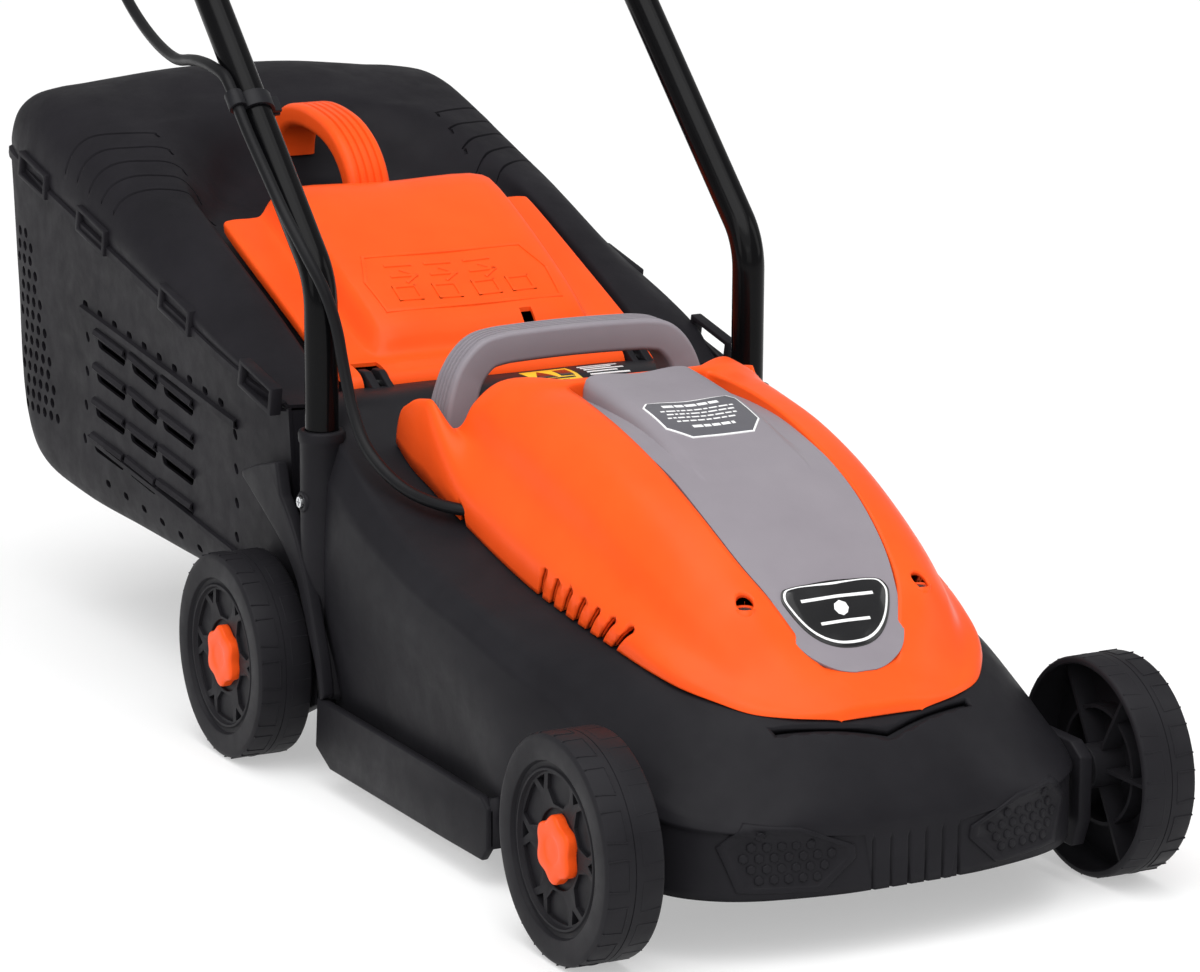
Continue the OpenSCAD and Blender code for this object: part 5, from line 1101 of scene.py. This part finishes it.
# louvre blades, a raised frame round them and the front frame
T_BASE = tree(base)
def xside(s, y, z):
    p = hit(T_BASE, (s * 260, y, z), (-s, 0, 0))
    return abs(p[0]) if p else 160.0
for s in (-1, 1):
    for yc, zc, L_, H_, A_ in SLOTS:
        G = []
        ca, sa = math.cos(math.radians(A_)), math.sin(math.radians(A_))
        for q in np.linspace(-L_ - 1.5, L_ + 1.5, 9):
            y = yc + q * ca; z = zc + q * sa
            xs_ = xside(s, y, z + 9)
            G.append([(s * (xs_ - 1.0), y, z + 8.6), (s * (xs_ + 1.6), y, z + 7.2), (s * (xs_ + 2.4), y, z + 4.8), (s * (xs_ - 5.0), y, z - 2.5)])
        o = Build().grid(G).obj("blade_", [M["bag_plastic"]]); mod(o, "SOLIDIFY", thickness=0.0016, offset=0); bits.append(settle(o))
    for z_off, w_ in ((-16.5, 2.2), (79, 3.2)):
        G = []
        for y in np.linspace(292, 566, 40):
            z = 136 + z_off + (y - 300) * 0.115
            xs_ = xside(s, y, z + 14)
            G.append([(s * (xs_ - 1.2), y, z - w_), (s * (xs_ + 1.5), y, z - w_ * 0.6), (s * (xs_ + 1.5), y, z + w_ * 0.6), (s * (xs_ - 1.2), y, z + w_)])
        o = Build().grid(G).obj("rail_", [M["bag_plastic"]]); mod(o, "SOLIDIFY", thickness=0.0012, offset=0); bits.append(settle(o))
v, f = prism([(-160.5, 238), (-159.5, 220), (-155.5, 160), (-150.5, 108), (-146, 99.5), (-134, 93.5), (134, 93.5), (146, 99.5), (150.5, 108), (155.5, 160), (159.5, 220), (160.5, 238), (148, 237.6), (128, 235.6), (121, 234.4), (-121, 234.4), (-128, 235.6), (-148, 237.6)], "y", 215, 218)
o = closed("front_frame", v, f, [M["bag_plastic"]])
v, f = prism([(-115, 104), (-115, 214), (-104, 228), (104, 228), (115, 214), (115, 104)], "y", 205, 230)
c = closed("c_ff", v, f); cut(o, c); bits.append(settle(o, 34, [c]))
BASE = finish(join(bits, "collector_base_visual"), "collector", ["collector_base"], 33)

# collector handle
hp = spline([(0, 430, 318), (0, 430.5, 334), (0, 436, 350), (0, 449, 365), (0, 470, 376.5), (0, 495, 382.0), (0, 520, 383.2), (0, 540, 379.5), (0, 553, 371), (0, 559, 360), (0, 561, 349)], 6)
def hsec(t):
    a = 8.2 + 1.6 * max(0, 1 - t * 6) + 0.8 * max(0, (t - 0.8) * 5)
    return rrect(a, 16.2, 5.0, 6, grooves=(-8.4, -2.8, 2.8, 8.4), gd=1.4, gw=1.3, side=1)
v, f = sweep(hp, hsec, (1, 0, 0))
o = closed("collector_handle_visual", v, f, [M["cover_plastic"]])
o.data.set_sharp_from_angle(angle=math.radians(32))
finish(o, "collector", ["collector_handle"])

# ---------------------------------------------------------------- wheels
def wheel(name, s, yc, body, wnode, cnode):
    b = Build()
    R, x1, x0, zc = 70.0, 203.4, 165.4, 70.0
    prof = [(x0 + 1.4, 6.1), (x0 + 1.4, 13.4), (x0 + 2.0, 14.0), (x1 - 14.5, 14.0), (x1 - 14.0, 15.0), (x1 - 14.0, R - 6.5), (x1 - 15.5, R - 5.5), (x0 + 0.6, R - 5.5), (x0, R - 4.9),
            (x0, R - 3.0), (x0 + 0.8, R - 1.8), (x0 + 2.4, R - 1.1), (x0 + 19, R - 1.0), (x0 + 19.2, R - 1.5), (x0 + 19.6, R - 1.5), (x0 + 19.8, R - 1.0), (x1 - 3.4, R - 1.1), (x1 - 1.4, R - 1.8), (x1 - 0.2, R - 3.6), (x1 - 0.1, R - 5.2),
            (x1 - 0.1, 53.6), (x1 - 0.5, 52.8), (x1 - 3.0, 51.8), (x1 - 3.3, 51.0), (x1 - 3.3, 49.2), (x1 - 2.9, 48.5), (x1 - 2.0, 48.0), (x1 - 1.8, 47.4), (x1 - 1.9, 46.6), (x1 - 4.2, 45.6), (x1 - 4.5, 45.0),
            (x1 - 4.5, 25.0), (x1 - 4.8, 24.4), (x1 - 7.0, 24.2), (x1 - 7.0, 6.1), (x0 + 1.4, 6.1)]
    v, f = lathe_x(prof, s, yc, zc, 144)
    o = Build().add(v, f).obj("w", [M["wheel_plastic"]])
    bm = bmesh.new(); bm.from_mesh(o.data); bmesh.ops.remove_doubles(bm, verts=bm.verts, dist=1e-6); bmesh.ops.recalc_face_normals(bm, faces=bm.faces); bm.to_mesh(o.data); bm.free()
    def at(r, t, x):
        return (s * x, yc + r * math.cos(t), zc + r * math.sin(t))
    # pockets: six trapezoids and six pairs of small triangles
    cb = Build()
    def pocket(poly, d0, d1):
        n = len(poly)
        V = [at(r, t, x1 - d0) for r, t in poly] + [at(r, t, x1 + 4) for r, t in poly]
        cb.add(V, [tuple(range(n)), tuple(range(n, 2 * n))[::-1]] + [(i, n + i, n + (i + 1) % n, (i + 1) % n) for i in range(n)])
    for k in range(6):
        t0 = math.radians(60 * k + 30)
        def P_(r, wmm):
            return (math.hypot(r, wmm), t0 + math.atan2(wmm, r))
        pocket([P_(26, -6), P_(33.5, -13.5), P_(42.8, -13.0), P_(43.8, -5), P_(43.8, 5), P_(42.8, 13.0), P_(33.5, 13.5), P_(26, 6)], 6.9, 0)
        t0 = math.radians(60 * k)
        pocket([P_(36.5, 0), P_(44.2, -5.4), P_(44.6, 0), P_(44.2, 5.4)], 8.6, 0)
    c = cb.obj("c_p", []); fix_normals(c); cut(o, c)
    settle(o, 32, [c])
    bits = [o]
    # tread: raised outlines of lugs, staggered on the two halves
    tb = Build()
    def bar(t, half_t, xa, xb, h=0.45, skew=0.0):
        n = 5
        G = []
        for q in np.linspace(0, 1, n):
            x = xa + (xb - xa) * q
            tt = t + skew * q
            G.append([at(R - 1.4, tt - half_t, x), at(R - 1.1 + h * 0.7, tt - half_t * 0.8, x), at(R - 1.1 + h, tt - half_t * 0.5, x), at(R - 1.1 + h, tt + half_t * 0.5, x), at(R - 1.1 + h * 0.7, tt + half_t * 0.8, x), at(R - 1.4, tt + half_t, x)])
        V = [p for r in G for p in r]
        F = grid_faces(n, 6, 0, False, True) + [(5, 4, 3, 2, 1, 0), tuple((n - 1) * 6 + q for q in range(6))]
        tb.add(V, F)
    def ringbar(t0, t1, x, half_x, h=0.45):
        n = 7
        V = []
        for q in np.linspace(t0, t1, n):
            for r_, xx in ((R - 1.4, -half_x), (R - 1.1 + h * 0.7, -half_x * 0.8), (R - 1.1 + h, -half_x * 0.5), (R - 1.1 + h, half_x * 0.5), (R - 1.1 + h * 0.7, half_x * 0.8), (R - 1.4, half_x)):
                V.append(at(r_, q, x + xx))
        F = grid_faces(n, 6, 0, False, True) + [(5, 4, 3, 2, 1, 0), tuple((n - 1) * 6 + q for q in range(6))]
        tb.add(V, F)
    N = 15
    hw = 0.55 / R
    for k in range(N):
        t = 2 * math.pi * k / N
        d = 2 * math.pi / N
        bar(t + 0.10 * d, hw, x1 - 1.6, x1 - 14.5)
        bar(t + 0.72 * d, hw, x1 - 1.6, x1 - 14.5, skew=0.02)
        ringbar(t + 0.10 * d, t + 0.72 * d, x1 - 14.5, 0.55)
        t2 = t + d * 0.5
        bar(t2 + 0.10 * d, hw, x0 + 1.6, x0 + 14.5, 0.2)
        bar(t2 + 0.72 * d, hw, x0 + 1.6, x0 + 14.5, 0.2, 0.02)
        ringbar(t2 + 0.10 * d, t2 + 0.72 * d, x0 + 14.5, 0.55, 0.2)
    o = tb.obj("t", [M["wheel_plastic"]]); fix_normals(o); o.data.set_sharp_from_angle(angle=math.radians(40)); bits.append(o)
    # ribs inside
    rb = Build()
    for k in range(6):
        t = math.radians(60 * k)
        for sgn in (1,):
            e = 1.2
            c_, s_ = math.cos(t), math.sin(t)
            V = []
            for x in (x0 + 9, x1 - 13.5):
                for r, w_ in ((13, -e), (R - 5, -e), (R - 5, e), (13, e)):
                    V.append((s * x, yc + r * c_ - w_ * s_, zc + r * s_ + w_ * c_))
            rb.add(V, [(0, 1, 2, 3), (7, 6, 5, 4), (0, 4, 5, 1), (1, 5, 6, 2), (2, 6, 7, 3), (3, 7, 4, 0)])
    v, f = lathe_x([(x0 + 12, 35.6), (x0 + 12, 38), (x1 - 13.5, 38), (x1 - 13.5, 35.6), (x0 + 12, 35.6)], s, yc, zc, 72)
    rb.add(v, f)
    o = rb.obj("r", [M["wheel_plastic"]]); fix_normals(o); o.data.set_sharp_from_angle(angle=math.radians(40)); bits.append(o)
    finish(join(bits, name + "_visual"), body, [wnode], 36)
    # cap: soft six-lobed dome
    seg = 120
    cap = Build()
    def lobe(t):
        return 19.6 + 1.5 * math.cos(6 * t)
    rings = [(1.0, -7.0), (1.0, -1.9), (0.985, -1.0), (0.94, -0.35), (0.86, 0.0), (0.72, 0.1), (0.5, 0.1), (0.44, -0.25), (0.40, -0.4), (0.2, -0.4), (0.01, -0.4)]
    V = []
    for k_, dx in rings:
        for q in range(seg):
            t = 2 * math.pi * q / seg
            rr = (lobe(t) if k_ > 0.7 else 19.6 + 1.5 * math.cos(6 * t) * max(0, (k_ - 0.45) / 0.25)) * k_
            V.append(at(rr, t + math.radians(30), x1 + dx))
    cap.add(V, grid_faces(len(rings), seg, 0, s < 0, True))
    o = cap.obj(name + "_cap_visual", [M["cover_plastic"]]); fix_normals(o)
    mod(o, "SOLIDIFY", thickness=0.0016, offset=-1.0)
    settle(o, 38)
    finish(o, body, [cnode])


wheel("front_wheel_r", -1, -239, "front_wheel_r", "front_wheel_right", "front_cap_right")
wheel("front_wheel_l", 1, -239, "front_wheel_l", "front_wheel_left", "front_cap_left")
wheel("rear_wheel_r", -1, 239, "rear_wheel_r", "rear_wheel_right", "rear_cap_right")
wheel("rear_wheel_l", 1, 239, "rear_wheel_l", "rear_wheel_left", "rear_cap_left")

# ---------------------------------------------------------------- tubes of the lower handle
for s, node in ((-1, "lower_tube_right"), (1, "lower_tube_left")):
    R_ = 45.0
    ba = math.pi / 2 - HS
    pts = [(s * 159.5, 167, z) for z in np.linspace(172.5, 333 - R_ * math.tan(ba / 2), 6)]
    cy, cz = 167 + R_, 333 - R_ * math.tan(ba / 2)
    pts += [(s * 159.5, cy - R_ * math.cos(t), cz + R_ * math.sin(t)) for t in np.linspace(ba / 14, ba, 14)]
    L = 310 + 22
    pts += [(s * 159.5, 167 + q * math.cos(HS), 333 + q * math.sin(HS)) for q in np.linspace(R_ * math.tan(ba / 2) + 6, L, 8)]
    v, f = tube(pts, 11.0, 40)
    o = closed(node + "_visual", v, f, [M["black_paint"]])
    o.data.set_sharp_from_angle(angle=math.radians(40))
    finish(o, "deck", [node])

# ---------------------------------------------------------------- cable, one piece across the fold
low = [(-110, 36, 203), (-119, 45, 203), (-129, 62, 204.5), (-138, 84, 209), (-145, 105, 219), (-150, 122, 233), (-152, 135, 252), (-154, 145, 280),
       (-157, 149, 305), (-163, 153, 328), (-170, 168, 352), (-174, 190, 374), (-175, 218, 398), (-174.8, 248, 422.1), (-174.8, 258.8, 432.4), (-174.8, 264.6, 438), (-174.8, 271.4, 444.5)]
upc = [(-175, 281, 451.8), (-175.5, 300, 456), (-174, 325, 456.5), (-170, 350, 454), (-165, 386, 450), (-159, 440, 457),
       (-153, 500, 477), (-146, 560, 510), (-136, 605, 560), (-126, 632, 620), (-118, 642, 680), (-113, 640, 740), (-110.5, 648, 785), (-110, 661, 805.5), (-110, 672, 815.9), (-110, 679.5, 823)]
v, f = tube(low + upc, 3.9, 16, 7)
o = closed("cable_visual", v, f, [M["cable_rubber"]])
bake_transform(o)
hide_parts("cable_lower", "cable_upper")

# ---------------------------------------------------------------- moulded parts with rounded edges, each a new piece
def rounded(n, width, slot, angle=40, segments=3):
    """A new piece on the outline of a CAD node with its edges rounded. The CAD node itself stays as it is and is hidden."""
    src = frame["nodes"][n]
    me = bpy.data.meshes.new(n + "_visual")
    me.from_pydata([tuple(x.co) for x in src.data.vertices], [], [tuple(q.vertices) for q in src.data.polygons])
    me.materials.append(M[slot])
    bm = bmesh.new(); bm.from_mesh(me)
    bmesh.ops.remove_doubles(bm, verts=bm.verts, dist=2e-6)
    bmesh.ops.dissolve_limit(bm, angle_limit=math.radians(0.5), verts=bm.verts, edges=bm.edges)
    bm.to_mesh(me); bm.free()
    o = bpy.data.objects.new(n + "_visual", me)
    S.collection.objects.link(o)
    mod(o, "BEVEL", width=width / 1000.0, segments=segments, limit_method="ANGLE", angle_limit=math.radians(angle))
    settle(o, 34)
    return finish(o, src["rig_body"], [n])


for n_, w_ in (("switch_box_top", 1.6), ("switch_box_bottom", 1.2), ("bail_bush", 0.8), ("cord_hook", 0.8), ("cable_clip", 0.6), ("wing_knob_left", 0.9), ("wing_knob_right", 0.9)):
    rounded(n_, w_, SLOT[n_])
